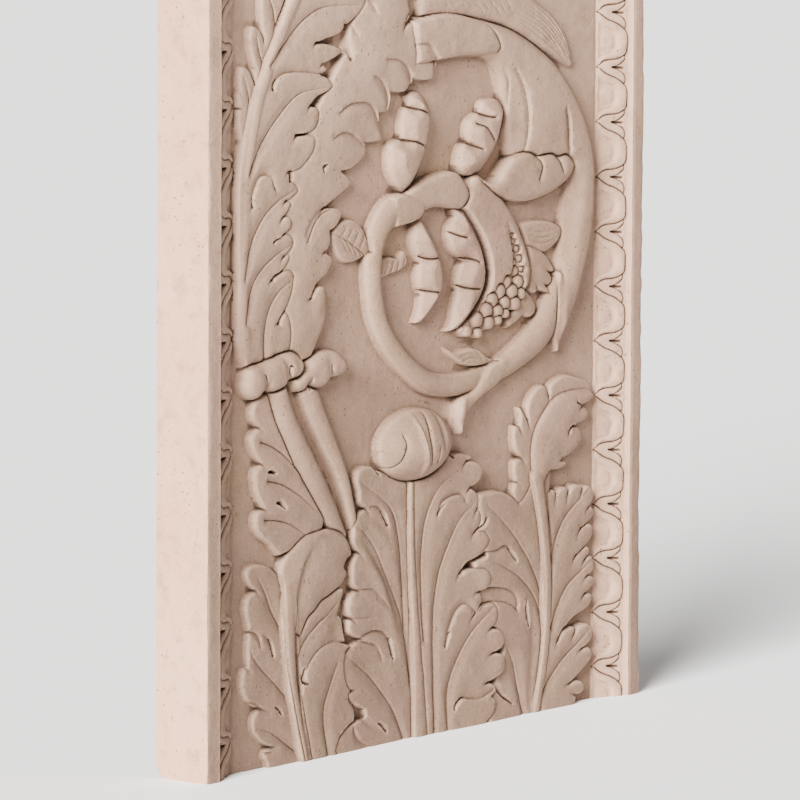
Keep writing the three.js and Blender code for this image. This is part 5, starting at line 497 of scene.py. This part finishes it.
# leaf A
F(6.5, [[57, 480, 2], [57, 545], [53, 560, 1], [53, 568], [54, 578, 1], [53, 586], [55, 594, 1], [55, 606], [58, 614], [67, 610], [76, 596, 2], [75, 612, 1], [69, 630], [68, 642], [72, 648], [81, 644], [87, 636, 1], [84, 652], [83, 672], [85, 720, 2], [141, 720, 2], [101, 640], [76, 580]], {"cl": 8, "to": [68, 520], "dome": 1.5})
V([[72, 555.5], [69.5, 575], [66, 592], [60.5, 605]], {"d": 1.5})
V([[97.5, 599], [84.5, 618], [79, 632], [76.5, 641]], {"d": 1.5})
V([[111.5, 629], [104, 645], [100, 660], [93, 674], [91, 700]], {"d": 1.5})
R([[72, 648], [79.5, 646.5], [86, 640]], 1.5, 5)
F(9, [[60, 355.5, 2], [54, 385.5], [50, 420.5], [48, 450.5], [48, 490.5], [51, 520], [58, 552], [68, 582], [83, 610], [101, 640], [126, 670], [148, 720, 2], [238, 720, 2], [224, 670], [222, 658], [210, 648], [195, 640, 2], [186, 634], [170, 631], [155, 628, 1], [173, 626], [190, 620], [182, 614], [164, 609, 1], [170, 604], [162, 600, 2], [170, 597], [177, 590], [170, 585], [156, 581], [147, 574, 1], [156, 572], [159, 566], [155, 556], [144, 551], [128, 549, 1], [140, 549], [151, 547], [152, 540], [146, 530], [134, 521], [119, 519, 1], [119, 511, 2], [127, 508], [132, 502], [124, 496.5], [115, 493.5, 1], [121, 492.5], [120, 488.5], [109, 479.5, 1], [117, 480.5], [121, 475.5], [119, 470.5], [112, 465.5, 1], [121, 463.5], [125, 457.5], [122, 451.5], [112, 445.5, 1], [119, 447.5], [119, 442.5], [112, 435.5], [96, 427.5, 1], [110, 432.5], [121, 433.5], [126, 427.5], [123, 415.5], [117, 404.5], [106, 389.5, 1], [110, 395.5], [116, 396.5], [121, 387.5], [122, 375.5], [119, 363.5], [114, 355.5, 2]], {"to": [74, 400], "cl": 9, "dome": 1.5, "dw": 8, "b": [[167, 590, 1, 12], [149, 540, 1.5, 14], [117, 475, 1.5, 12]]})
S([9, 11, 12, 12], [9, 11, 11, 10.5], [[69, 352], [59.5, 390.5], [58.5, 450.5], [61, 500.5]], {"q": 2.2, "mx": 1})
S([6, 6, 6, 7], [11, 11.5, 11.5, 11.5], [[62.5, 520.5], [74, 575.5], [99.5, 626.5], [135.5, 684.5]], {"q": 2.2, "mx": 1, "bb": 8})
V([[92.5, 612.5], [115.5, 632.5], [139.5, 649.5], [167.5, 658.5], [218.5, 657]])
V([[65, 520.5], [81.5, 545.5], [105.5, 568.5], [132.5, 585.5], [169, 588.5]])
V([[59, 430.5], [67.5, 458.5], [83.5, 480.5], [104, 494.5], [129.5, 503]])
V([[61, 392.5], [67.5, 418.5], [79.5, 434.5], [98, 446.5], [123.5, 456]])
V([[86.5, 358.5], [86.5, 382.5], [93.5, 402.5], [106, 416.5], [122.5, 424]])
R([[67.5, 491.5], [69.5, 503.5], [77.5, 515.5], [85.5, 518.5], [92.5, 515.5], [98.5, 504.5]], 3, 10)
E([[98.5, 505.5], [95.5, 510.5], [92.5, 515.5]], [1.6, 1.2, 0.8], [3, 7, 8, 8])
E([[68.5, 492.5], [67.5, 496.5], [67.5, 500.5]], [1.8, 1.6, 1], [3, 7, 8, 8])
R([[95.5, 592.5], [101.5, 600.5], [115.5, 604.5], [139.5, 603.5], [164, 600]], 3, 10)
E([[95.5, 591.5], [94.5, 595.5], [99.5, 600.5]], [1.8, 2, 1], [3, 7, 8, 8])
E([[126.5, 550], [134.5, 550], [144.5, 551]], [1.8, 1, 0.8], [3, 7, 8, 8])
E([[96.5, 459.5], [101, 461.5], [106, 462.5]], [1.8, 1, 0.8], [3, 7, 8, 8])
E([[97, 427], [98.5, 430], [106, 432]], [1.8, 1.6, 1], [3, 7, 8, 8])
E([[105.5, 388], [106.5, 393], [114, 399]], [1.8, 1.6, 1.2], [3, 7, 8, 8])
E([[154.5, 628], [164, 628], [177, 626]], [1.8, 1, 1.4], [3, 7, 8, 8])
E([[121, 519], [122, 515], [121, 511]], [2.5, 2.5, 2.5], [3, 7, 8, 8])
E([[169, 609], [171, 604], [172.5, 599]], [2.4, 3, 1.5], [3, 7, 8, 8])
G([5, 6, 5], [4, 5, 3], [[195.5, 640], [197.5, 625], [202.5, 611.5]], {"flat": 1})
# collars
F(12, [[122, 338], [124, 330], [130, 326], [138, 326], [144, 331, 1], [150, 328], [160, 326], [168, 328], [176, 335, 1], [183, 334], [191, 335], [197, 340], [198, 347], [193, 353], [186, 357], [175, 359], [162, 358], [148, 354], [138, 347], [128, 342]], {"dome": 4, "dw": 7, "er": 8, "ed": 8, "m": 2})
F(13, [[58, 344], [60, 352], [67, 356], [80, 357], [95, 360], [110, 363], [123, 363], [132, 359], [137, 352], [136, 344], [130, 339], [122, 338], [115, 336], [113, 333], [105, 330], [96, 329], [89, 332], [86, 336, 1], [82, 330], [74, 325], [66, 326], [60, 331], [57, 338]], {"dome": 4, "dw": 7, "er": 8, "ed": 8, "m": 2})
E([[80.5, 346.5], [84, 340], [86, 330]], [1, 1.6, 1.8], [4, 7, 7])
G([1, 1.5, 1], [5, 7, 6], [[76.5, 358], [80.5, 351], [81.5, 344]], {"soft": 1})
G([1, 2.2, 2.5, 2], [2.5, 4, 5, 4], [[99.5, 361.5], [108.5, 357.5], [112.5, 351.5], [113.5, 345.5]], {"soft": 1})
E([[118.5, 350], [115.5, 351], [115, 345], [119.5, 337.5]], [0.7, 1.2, 1.6, 1.2], [2, 5, 6, 5])
G([0.6, 1.2, 0.6], [3, 4, 3], [[127, 346], [125, 355], [118, 357]], {"soft": 1})
E([[173, 346], [173, 341], [179, 334]], [1, 1.6, 1.2], [4, 6, 5])
E([[145, 338], [145.5, 332.5], [146, 327]], [1, 1.5, 1.3], [4, 5, 5])
G([1, 1.8, 1], [4, 6, 4], [[172, 358], [171, 351], [172, 344]], {"soft": 1})


# ---- leaf-and-dart moulding along both long edges ----
def plain_moulding(m):
    t = np.clip((m - BAND) / 3.5, 0, 1)
    cove = SINK - 5 * np.sqrt(np.maximum(0, 1 - (1 - t) ** 2))
    s = (m - BAND - 3.5) / (MOULD - 3.5)
    slope = SINK - 5 - (SINK - 5 - FILLET) * s
    return np.where(m <= BAND, SINK, np.where(m < BAND + 3.5, cove, np.where(m < BAND + MOULD, slope, 0)))


edge_x = np.minimum(GX, WIDTH - GX)
border = edge_x <= BAND + MOULD
inner = edge_x > BAND + MOULD - 3
plain = plain_moulding(edge_x).astype(np.float32)
field[:, border] = np.maximum(plain[border], np.where(inner[border], field[:, border], 0))


def border_leaf(left, zd, over):
    def P(m, z, s=0):
        return [m if left else WIDTH - m, zd + z, s]

    def on(x):
        return plain_moulding(np.minimum(x, WIDTH - x))
    if not over:
        F(1.0, [P(49, -8, 2), P(24, -18, 2), P(22, -13), P(22.5, -9), P(25, -5.5), P(29, -3), P(35, -0.5, 1), P(29, 1.2),
                P(25, 4), P(22.3, 7), P(23, 11, 2), P(49, 8, 2)], {"on": on, "dome": 0.8, "dw": 4, "er": 2, "ed": 1.2, "m": 1.2})
        return
    F(2.2, [P(49.5, 1, 2), P(47, 4.5), P(41, 7), P(31, 7.5), P(25, 9.8), P(22, 13), P(21.2, 20), P(21.5, 29), P(24, 33.5),
            P(31, 39), P(41, 43.5), P(49.5, 50, 2), P(49.5, 25)], {"on": on, "dome": 0.6, "dw": 4, "er": 1.8, "ed": 1.2, "m": 1.2})
    F(0.1, [P(49, 43, 2), P(43, 37.5), P(37, 34.5), P(32.5, 31), P(30, 25.5), P(30.5, 18), P(35, 13), P(42, 11),
            P(49, 7, 2), P(49, 25)], {"on": on, "dome": 0, "er": 1, "ed": 0, "m": 0})
    F(0.6, [P(45, 17), P(37, 16), P(33.5, 20), P(33.5, 27), P(37.5, 31), P(44, 32), P(46.5, 25)],
      {"on": on, "dome": 0.8, "er": 2, "ed": 0.7, "m": 0})
    G([2, 4.5, 3.5], [0.8, 1.8, 2.6], [P(36, 0), P(30, -0.8), P(24, -1.5)], {"lo": 5})


for over in (False, True):
    for k in range(-1, int(HEIGHT / PITCH) + 1):
        for left in (True, False):
            if k * PITCH < HEIGHT:
                border_leaf(left, FIRST_DART + k * PITCH, over)


# ---- age: worn arrises and the mason's slight unevenness ----
rng = np.random.default_rng(11)


def noise(shape, size):
    """smooth noise of about unit height; size in cells"""
    ny, nx = int(shape[0] / size) + 4, int(shape[1] / size) + 4
    g = rng.standard_normal((ny, nx))
    v, u = np.arange(shape[0]) / size + 1, np.arange(shape[1]) / size + 1

    def rows(a, t):
        i = np.floor(t).astype(int)
        f = (t - i)[:, None]
        f = f * f * (3 - 2 * f)
        return a[i] * (1 - f) + a[i + 1] * f
    return rows(rows(g, v).T, u).T.astype(np.float32)


clean = field.copy()
field += 0.10 * noise(field.shape, 9) + 0.16 * noise(field.shape, 24) + 0.05 * noise(field.shape, 4)
for near, worn in ((GX, 1.0), (WIDTH - GX, 0.8)):
    bite = 1.1 + 0.8 * noise((NZ, 1), 45) + 0.5 * noise((NZ, 1), 14)
    field -= worn * np.maximum(bite, 0.3) * np.maximum(0, 1 - near / 3.2)[None, :] ** 2
field = field.astype(np.float32)


# ---- hollows and lee sides, for the dirt and the painted shade ----
def blur(a, size):
    r = max(1, int(round(size / STEP)))
    k = np.exp(-0.5 * (np.arange(-3 * r, 3 * r + 1) / r) ** 2)
    k /= k.sum()
    pad = 3 * r
    b = np.pad(a, pad, mode="edge")
    out = np.zeros((b.shape[0], a.shape[1]), np.float32)
    for i, w in enumerate(k):
        out += w * b[:, i:i + a.shape[1]]
    res = np.zeros(a.shape, np.float32)
    for i, w in enumerate(k):
        res += w * out[i:i + a.shape[0]]
    return res


def between(reach):
    """depth below what stands on both sides: grooves and gaps, not the foot of a single wall"""
    r = int(round(reach / STEP))
    q = max(1, int(round(r * 0.7)))
    p = np.pad(clean, r, mode="edge")

    def at(dj, di):
        return p[r + dj:r + dj + NZ, r + di:r + di + NX]
    deep = np.zeros_like(clean)
    for dj, di in ((0, r), (r, 0), (q, q), (q, -q)):
        deep = np.maximum(deep, np.minimum(at(dj, di), at(-dj, -di)) - clean)
    return deep


line_deep = np.maximum(between(1.5), 0.8 * between(2.3))
gap_deep = np.maximum(between(4.5), between(7.5))
line_deep[:, border & (GX > WIDTH / 2)] *= 1.7      # the right border's cuts are shallow; their dirt and painted shade are made stronger
lee = np.pad(clean, ((0, 3), (6, 0)), mode="edge")[3:, :NX]     # what stands up to the left and above
# painted shadow: darker where a wall stands to the left and above, away from the light; a quarter of it from walls on
# any side
foot = np.maximum(0.75 * (blur(lee, 4.0) - clean) + 0.25 * (blur(clean, 4.0) - clean), 0)
crest = np.maximum(clean - blur(clean, 1.8), 0)

# ---- the slab's mesh: carved front, plain sides, back and ends ----
verts = np.zeros((NZ * NX, 3), np.float32)
verts[:, 0] = np.tile(GX, NZ)
verts[:, 2] = np.repeat(GZ, NX)
verts[:, 1] = SINK - field.ravel()
idx = np.arange(NZ * NX).reshape(NZ, NX)
a, b, c, d = idx[:-1, :-1].ravel(), idx[:-1, 1:].ravel(), idx[1:, 1:].ravel(), idx[1:, :-1].ravel()
quads = np.stack([a, b, c, d], 1)       # counter-clockwise seen from the front (-Y)

profile = [(THICK - BACK_ROUND + BACK_ROUND * math.sin(k / 12 * math.pi / 2),
            BACK_ROUND - BACK_ROUND * math.cos(k / 12 * math.pi / 2)) for k in range(13)] + [(THICK, HEIGHT)]
extra, rings = [], []
base = NZ * NX
polys = []
left_back, right_back = [], []
for y, z in profile:
    left_back.append(base + len(extra)); extra.append((0, y, z))
    right_back.append(base + len(extra)); extra.append((WIDTH, y, z))
verts = np.concatenate([verts, np.array(extra, np.float32)])
for k in range(len(profile) - 1):
    polys.append((left_back[k], left_back[k + 1], right_back[k + 1], right_back[k]))
col0, col1 = idx[:, 0].tolist(), idx[:, -1].tolist()
row0, row1 = idx[0].tolist(), idx[-1].tolist()
polys.append(col0 + left_back[::-1])                      # left side: up the front, down the back
polys.append(col1[::-1] + right_back)                     # right side
polys.append(row0[::-1] + [left_back[0], right_back[0]])  # underside
polys.append(row1 + [right_back[-1], left_back[-1]])      # top cut

loops = np.concatenate([quads.ravel(), np.array([v for p in polys for v in p])])
sizes = np.concatenate([np.full(len(quads), 4), np.array([len(p) for p in polys])])
starts = np.concatenate([[0], np.cumsum(sizes)[:-1]])
shift_y = THICK - cad_high[1] * 1000    # the frame's origin is at the middle of the whole depth
verts = (verts - np.array([WIDTH / 2, shift_y, 0])) / 1000

mesh = bpy.data.meshes.new("relief_panel_look")
mesh.vertices.add(len(verts))
mesh.vertices.foreach_set("co", verts.astype(np.float32).ravel())
mesh.loops.add(len(loops))
mesh.loops.foreach_set("vertex_index", loops.astype(np.int32))
mesh.polygons.add(len(sizes))
mesh.polygons.foreach_set("loop_start", starts.astype(np.int32))
mesh.update(calc_edges=True)
mesh.validate()

panel = bpy.data.objects.new("relief_panel_look", mesh)
bpy.context.scene.collection.objects.link(panel)
bpy.context.view_layer.objects.active = panel
panel.select_set(True)
tri = panel.modifiers.new("tri", "TRIANGULATE")
dec = panel.modifiers.new("dec", "DECIMATE")
dec.ratio = 186000 / (2 * len(quads) + 6000)
bpy.ops.object.modifier_apply(modifier="tri")
bpy.ops.object.modifier_apply(modifier="dec")
mesh = panel.data
print("triangles", len(mesh.polygons))

# what each point of the surface holds: hollows at three widths; the third holds the painted shadow on the lee of the
# walls
co = np.zeros(len(mesh.vertices) * 3, np.float32)
mesh.vertices.foreach_get("co", co)
co = co.reshape(-1, 3) * 1000 + np.array([WIDTH / 2, shift_y, 0])
front = co[:, 1] < 24
u, v = np.clip(co[:, 0] / CX, 0, NX - 1.001), np.clip(co[:, 2] / CZ, 0, NZ - 1.001)
ui, vi = u.astype(int), v.astype(int)
uf, vf = u - ui, v - vi


def sample(a):
    s = (a[vi, ui] * (1 - uf) + a[vi, ui + 1] * uf) * (1 - vf) + (a[vi + 1, ui] * (1 - uf) + a[vi + 1, ui + 1] * uf) * vf
    return np.where(front, s, 0)


col = np.zeros((len(co), 4), np.float32)
col[:, 0] = np.clip(sample(line_deep) / 2.8, 0, 1)
col[:, 1] = np.clip(sample(gap_deep) / 9.0, 0, 1)
col[:, 2] = np.clip(sample(foot) / 6.0, 0, 1)
col[:, 3] = 1
attr = mesh.color_attributes.new("hollow", "FLOAT_COLOR", "POINT")
attr.data.foreach_set("color", col.ravel())
rub = mesh.attributes.new("crest", "FLOAT", "POINT")
rub.data.foreach_set("value", np.clip(sample(crest) / 2.0, 0, 1).astype(np.float32))
mesh.shade_smooth()
mesh.set_sharp_from_angle(angle=math.radians(48))
facing = np.zeros(len(mesh.polygons) * 3, np.float32)
mesh.polygons.foreach_get("normal", facing)
facing = facing.reshape(-1, 3)
smooth = (np.abs(facing[:, 0]) < 0.9998) & (np.abs(facing[:, 2]) < 0.9998) & (facing[:, 1] < 0.9998)
mesh.polygons.foreach_set("use_smooth", smooth)         # the sawn ends, sides and back stay flat
mesh.update()

# ---- stone ----
mat = bpy.data.materials.new("weathered stone")
mat.use_nodes = True
nt = mat.node_tree
N, L = nt.nodes, nt.links
N.clear()


def node(kind, **kw):
    n = N.new(kind)
    for k, val in kw.items():
        if k in n.inputs:
            n.inputs[k].default_value = val
        else:
            setattr(n, k, val)
    return n


def link(a, b):
    L.new(a, b)


def ramp(source, lo, hi, v0=0.0, v1=1.0):
    r = node("ShaderNodeMapRange")
    r.interpolation_type = "SMOOTHSTEP"
    r.inputs["From Min"].default_value, r.inputs["From Max"].default_value = lo, hi
    r.inputs["To Min"].default_value, r.inputs["To Max"].default_value = v0, v1
    link(source, r.inputs["Value"])
    return r.outputs["Result"]


def math_(op, a, b):
    m = node("ShaderNodeMath")
    m.operation = op
    for k, s in enumerate((a, b)):
        if isinstance(s, (int, float)):
            m.inputs[k].default_value = s
        else:
            link(s, m.inputs[k])
    return m.outputs[0]


def mix(fac, a, b, kind="MIX"):
    m = node("ShaderNodeMix")
    m.data_type = "RGBA"
    m.blend_type = kind
    for k, s in ((0, fac), (6, a), (7, b)):
        if isinstance(s, (int, float)):
            m.inputs[k].default_value = s
        elif isinstance(s, tuple):
            m.inputs[k].default_value = (*s, 1)
        else:
            link(s, m.inputs[k])
    return m.outputs[2]


def grain(scale, detail=4.0, rough=0.6, stretch=None):
    n = node("ShaderNodeTexNoise")
    n.inputs["Scale"].default_value = scale
    n.inputs["Detail"].default_value = detail
    n.inputs["Roughness"].default_value = rough
    if stretch:
        mp = node("ShaderNodeMapping")
        mp.inputs["Scale"].default_value = stretch
        link(place.outputs["Object"], mp.inputs["Vector"])
        link(mp.outputs["Vector"], n.inputs["Vector"])
    else:
        link(place.outputs["Object"], n.inputs["Vector"])
    return n.outputs["Fac"]


place = node("ShaderNodeTexCoord")
hollow = node("ShaderNodeAttribute")
hollow.attribute_name = "hollow"
parts = node("ShaderNodeSeparateColor")
link(hollow.outputs["Color"], parts.inputs["Color"])
h_line, h_gap, h_shadow_and_foot_dirt = parts.outputs["Red"], parts.outputs["Green"], parts.outputs["Blue"]
crested = node("ShaderNodeAttribute")
crested.attribute_name = "crest"
h_crest = crested.outputs["Fac"]

STONE = (0.224, 0.137, 0.091)
PALE = (0.293, 0.184, 0.126)
OCHRE = (0.250, 0.158, 0.094)
ROSE = (0.265, 0.154, 0.115)
TAN = (0.150, 0.084, 0.054)
LOW_SHADE = (0.128, 0.082, 0.056)             # painted shade, darker towards the bottom and on the lower left leaves
SIDE_LIT = (0.500, 0.275, 0.170)             # the plain sides, painted paler: painted light from the left
RUBBED = (0.440, 0.292, 0.205)
DIRT_AND_SHADE = (0.072, 0.040, 0.024)
DEEP_SHADE = (0.022, 0.011, 0.007)

cloud = grain(9.0, 5.0, 0.6)
mottle = grain(55.0, 4.0, 0.65)
sand = grain(520.0, 3.0, 0.75)
place_xyz = node("ShaderNodeSeparateXYZ")
link(place.outputs["Object"], place_xyz.inputs["Vector"])
on_side = math_("GREATER_THAN", math_("ABSOLUTE", place_xyz.outputs["X"], 0), WIDTH / 2000 - 0.0007)
height = place_xyz.outputs["Z"]
base_col = mix(ramp(cloud, 0.35, 0.68), STONE, PALE)
tint = grain(17.0, 3.0, 0.55)
base_col = mix(math_("MULTIPLY", ramp(tint, 0.50, 0.66), 0.65), base_col, OCHRE)
base_col = mix(math_("MULTIPLY", ramp(tint, 0.48, 0.34), 0.65), base_col, ROSE)
# painted shade and light: darker towards the bottom, paler towards the top and the upper left, where the light comes
# from
base_col = mix(math_("MULTIPLY", ramp(math_("ADD", height, math_("MULTIPLY", cloud, 0.25)), 0.62, 0.12), 0.42), base_col, LOW_SHADE)
base_col = mix(math_("MULTIPLY", ramp(math_("ADD", height, math_("MULTIPLY", cloud, 0.2)), 0.5, 0.76), 0.55), base_col, (0.345, 0.222, 0.155))
across = place_xyz.outputs["X"]
lit = math_("SUBTRACT", height, math_("MULTIPLY", across, 0.9))
base_col = mix(math_("MULTIPLY", ramp(lit, 0.48, 0.82), 0.38), base_col, (0.415, 0.268, 0.190))
# painted shade on the lower left leaves, which slope away from the light
low_left_shade = math_("MULTIPLY", ramp(across, 0.0, -0.06), ramp(height, 0.34, 0.2))
base_col = mix(math_("MULTIPLY", low_left_shade, 0.20), base_col, LOW_SHADE)
from_middle = math_("ABSOLUTE", across, 0)
# painted light: the border mouldings painted paler, most on the right, whose slope faces the light
lit_border = math_("MULTIPLY", ramp(from_middle, 0.2555, 0.262), ramp(from_middle, 0.2975, 0.2945))
lit_border = math_("MULTIPLY", lit_border, ramp(place_xyz.outputs["Y"], 0.002, -0.003))
base_col = mix(math_("MULTIPLY", lit_border, ramp(across, -0.1, 0.1, 0.12, 0.8)), base_col, (0.440, 0.270, 0.184))
# painted light: the sawn sides, which face the light, painted paler than the front
base_col = mix(on_side, base_col, mix(ramp(cloud, 0.35, 0.7), SIDE_LIT, (0.535, 0.315, 0.205)))
base_col = mix(math_("MULTIPLY", ramp(mottle, 0.48, 0.72), 0.36), base_col, TAN)
# fine sandy speckle
base_col = mix(math_("MULTIPLY", ramp(sand, 0.53, 0.74), 0.42), base_col, TAN)
base_col = mix(math_("MULTIPLY", ramp(sand, 0.46, 0.28), 0.38), base_col, RUBBED)
# dirt and painted shade in the grooves and in the gaps; painted shadow on the lee side of the walls, with a little dirt
# at every wall foot
broken = grain(70.0, 5.0, 0.7)
base_col = mix(math_("MULTIPLY", ramp(h_shadow_and_foot_dirt, 0.12, 0.75), math_("ADD", 0.2, math_("MULTIPLY", broken, 0.5))), base_col, DIRT_AND_SHADE)
base_col = mix(math_("MULTIPLY", ramp(h_gap, 0.12, 0.68), math_("ADD", 0.35, math_("MULTIPLY", broken, 0.6))), base_col, mix(0.3, DIRT_AND_SHADE, DEEP_SHADE))
base_col = mix(math_("MULTIPLY", ramp(h_line, 0.07, 0.52), 0.92), base_col, mix(0.4, DIRT_AND_SHADE, DEEP_SHADE))
# rubbed high edges
base_col = mix(math_("MULTIPLY", ramp(h_crest, 0.15, 0.6), 0.35), base_col, RUBBED)
# scattered pits
pits = node("ShaderNodeTexVoronoi")
pits.inputs["Scale"].default_value = 150.0
link(place.outputs["Object"], pits.inputs["Vector"])
pit = math_("MULTIPLY", ramp(pits.outputs["Distance"], 0.17, 0.07), ramp(grain(24.0, 3.0), 0.47, 0.60))
specks = node("ShaderNodeTexVoronoi")
specks.inputs["Scale"].default_value = 330.0
link(place.outputs["Object"], specks.inputs["Vector"])
speck = math_("MULTIPLY", ramp(specks.outputs["Distance"], 0.22, 0.10), ramp(grain(37.0, 4.0), 0.50, 0.64))
base_col = mix(math_("MULTIPLY", pit, 0.62), base_col, DIRT_AND_SHADE)
base_col = mix(math_("MULTIPLY", speck, 0.50), base_col, DIRT_AND_SHADE)

shade = node("ShaderNodeBsdfPrincipled")
link(base_col, shade.inputs["Base Color"])
shade.inputs["Roughness"].default_value = 0.88
shade.inputs["Specular IOR Level"].default_value = 0.25
bump_h = math_("ADD", math_("MULTIPLY", sand, 0.6), math_("MULTIPLY", grain(160.0, 4.0, 0.6), 0.8))
bump_h = math_("SUBTRACT", bump_h, math_("MULTIPLY", pit, 1.2))
bump = node("ShaderNodeBump")
bump.inputs["Strength"].default_value = 0.75
bump.inputs["Distance"].default_value = 0.0009
link(bump_h, bump.inputs["Height"])
link(bump.outputs["Normal"], shade.inputs["Normal"])
out = node("ShaderNodeOutputMaterial")
link(shade.outputs["BSDF"], out.inputs["Surface"])
mesh.materials.clear()
mesh.materials.append(mat)

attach(panel, "root")
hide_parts("relief_panel")

# ---- floor, light, camera ----
floor_mesh = bpy.data.meshes.new("floor")
floor_mesh.from_pydata([(-30, -30, 0), (30, -30, 0), (30, 30, 0), (-30, 30, 0)], [], [(0, 1, 2, 3)])
floor = bpy.data.objects.new("floor", floor_mesh)
bpy.context.scene.collection.objects.link(floor)
fmat = bpy.data.materials.new("pale floor")
fmat.use_nodes = True
fb = fmat.node_tree.nodes["Principled BSDF"]
fb.inputs["Base Color"].default_value = (0.93, 0.93, 0.93, 1)
fb.inputs["Roughness"].default_value = 0.9
fb.inputs["Specular IOR Level"].default_value = 0.1
floor_mesh.materials.append(fmat)

world = bpy.data.worlds.new("studio")
bpy.context.scene.world = world
world.use_nodes = True
bg = world.node_tree.nodes["Background"]
bg.inputs["Color"].default_value = (1.0, 0.985, 0.965, 1)
bg.inputs["Strength"].default_value = 0.35


def area(name, at, size, power, target=(0, 0, 0.35), color=(1, 1, 1)):
    data = bpy.data.lights.new(name, "AREA")
    data.shape = "RECTANGLE"
    data.size, data.size_y = size
    data.energy = power
    data.color = color
    o = bpy.data.objects.new(name, data)
    bpy.context.scene.collection.objects.link(o)
    o.location = at
    o.rotation_euler = (Vector(target) - Vector(at)).to_track_quat("-Z", "Y").to_euler()
    return o


sun = bpy.data.lights.new("key", "SUN")
sun.energy = 18.0
sun.angle = math.radians(26)
sun.color = (1.0, 0.985, 0.965)
key = bpy.data.objects.new("key", sun)
bpy.context.scene.collection.objects.link(key)
key.rotation_euler = Vector((0.89, 0.26, -0.38)).to_track_quat("-Z", "Y").to_euler()

cam = bpy.data.cameras.new("camera")
eye = bpy.data.objects.new("camera", cam)
bpy.context.scene.collection.objects.link(eye)
at = (Vector((-5152.635, -4303.491, 1219.864)) - Vector((WIDTH / 2, shift_y, 0))) / 1000
right, up_, fwd = Vector((0.62271205, -0.78243209, 0.0054527)), Vector((0.09899755, 0.08569782, 0.99139062)), Vector((0.77616312, 0.61681108, -0.13082392))
eye.matrix_world = Matrix(((right.x, up_.x, -fwd.x, at.x), (right.y, up_.y, -fwd.y, at.y), (right.z, up_.z, -fwd.z, at.z), (0, 0, 0, 1)))
cam.sensor_width = 36
cam.lens = 7937.4 / 800 * 36
cam.clip_start, cam.clip_end = 0.5, 100
bpy.context.scene.camera = eye
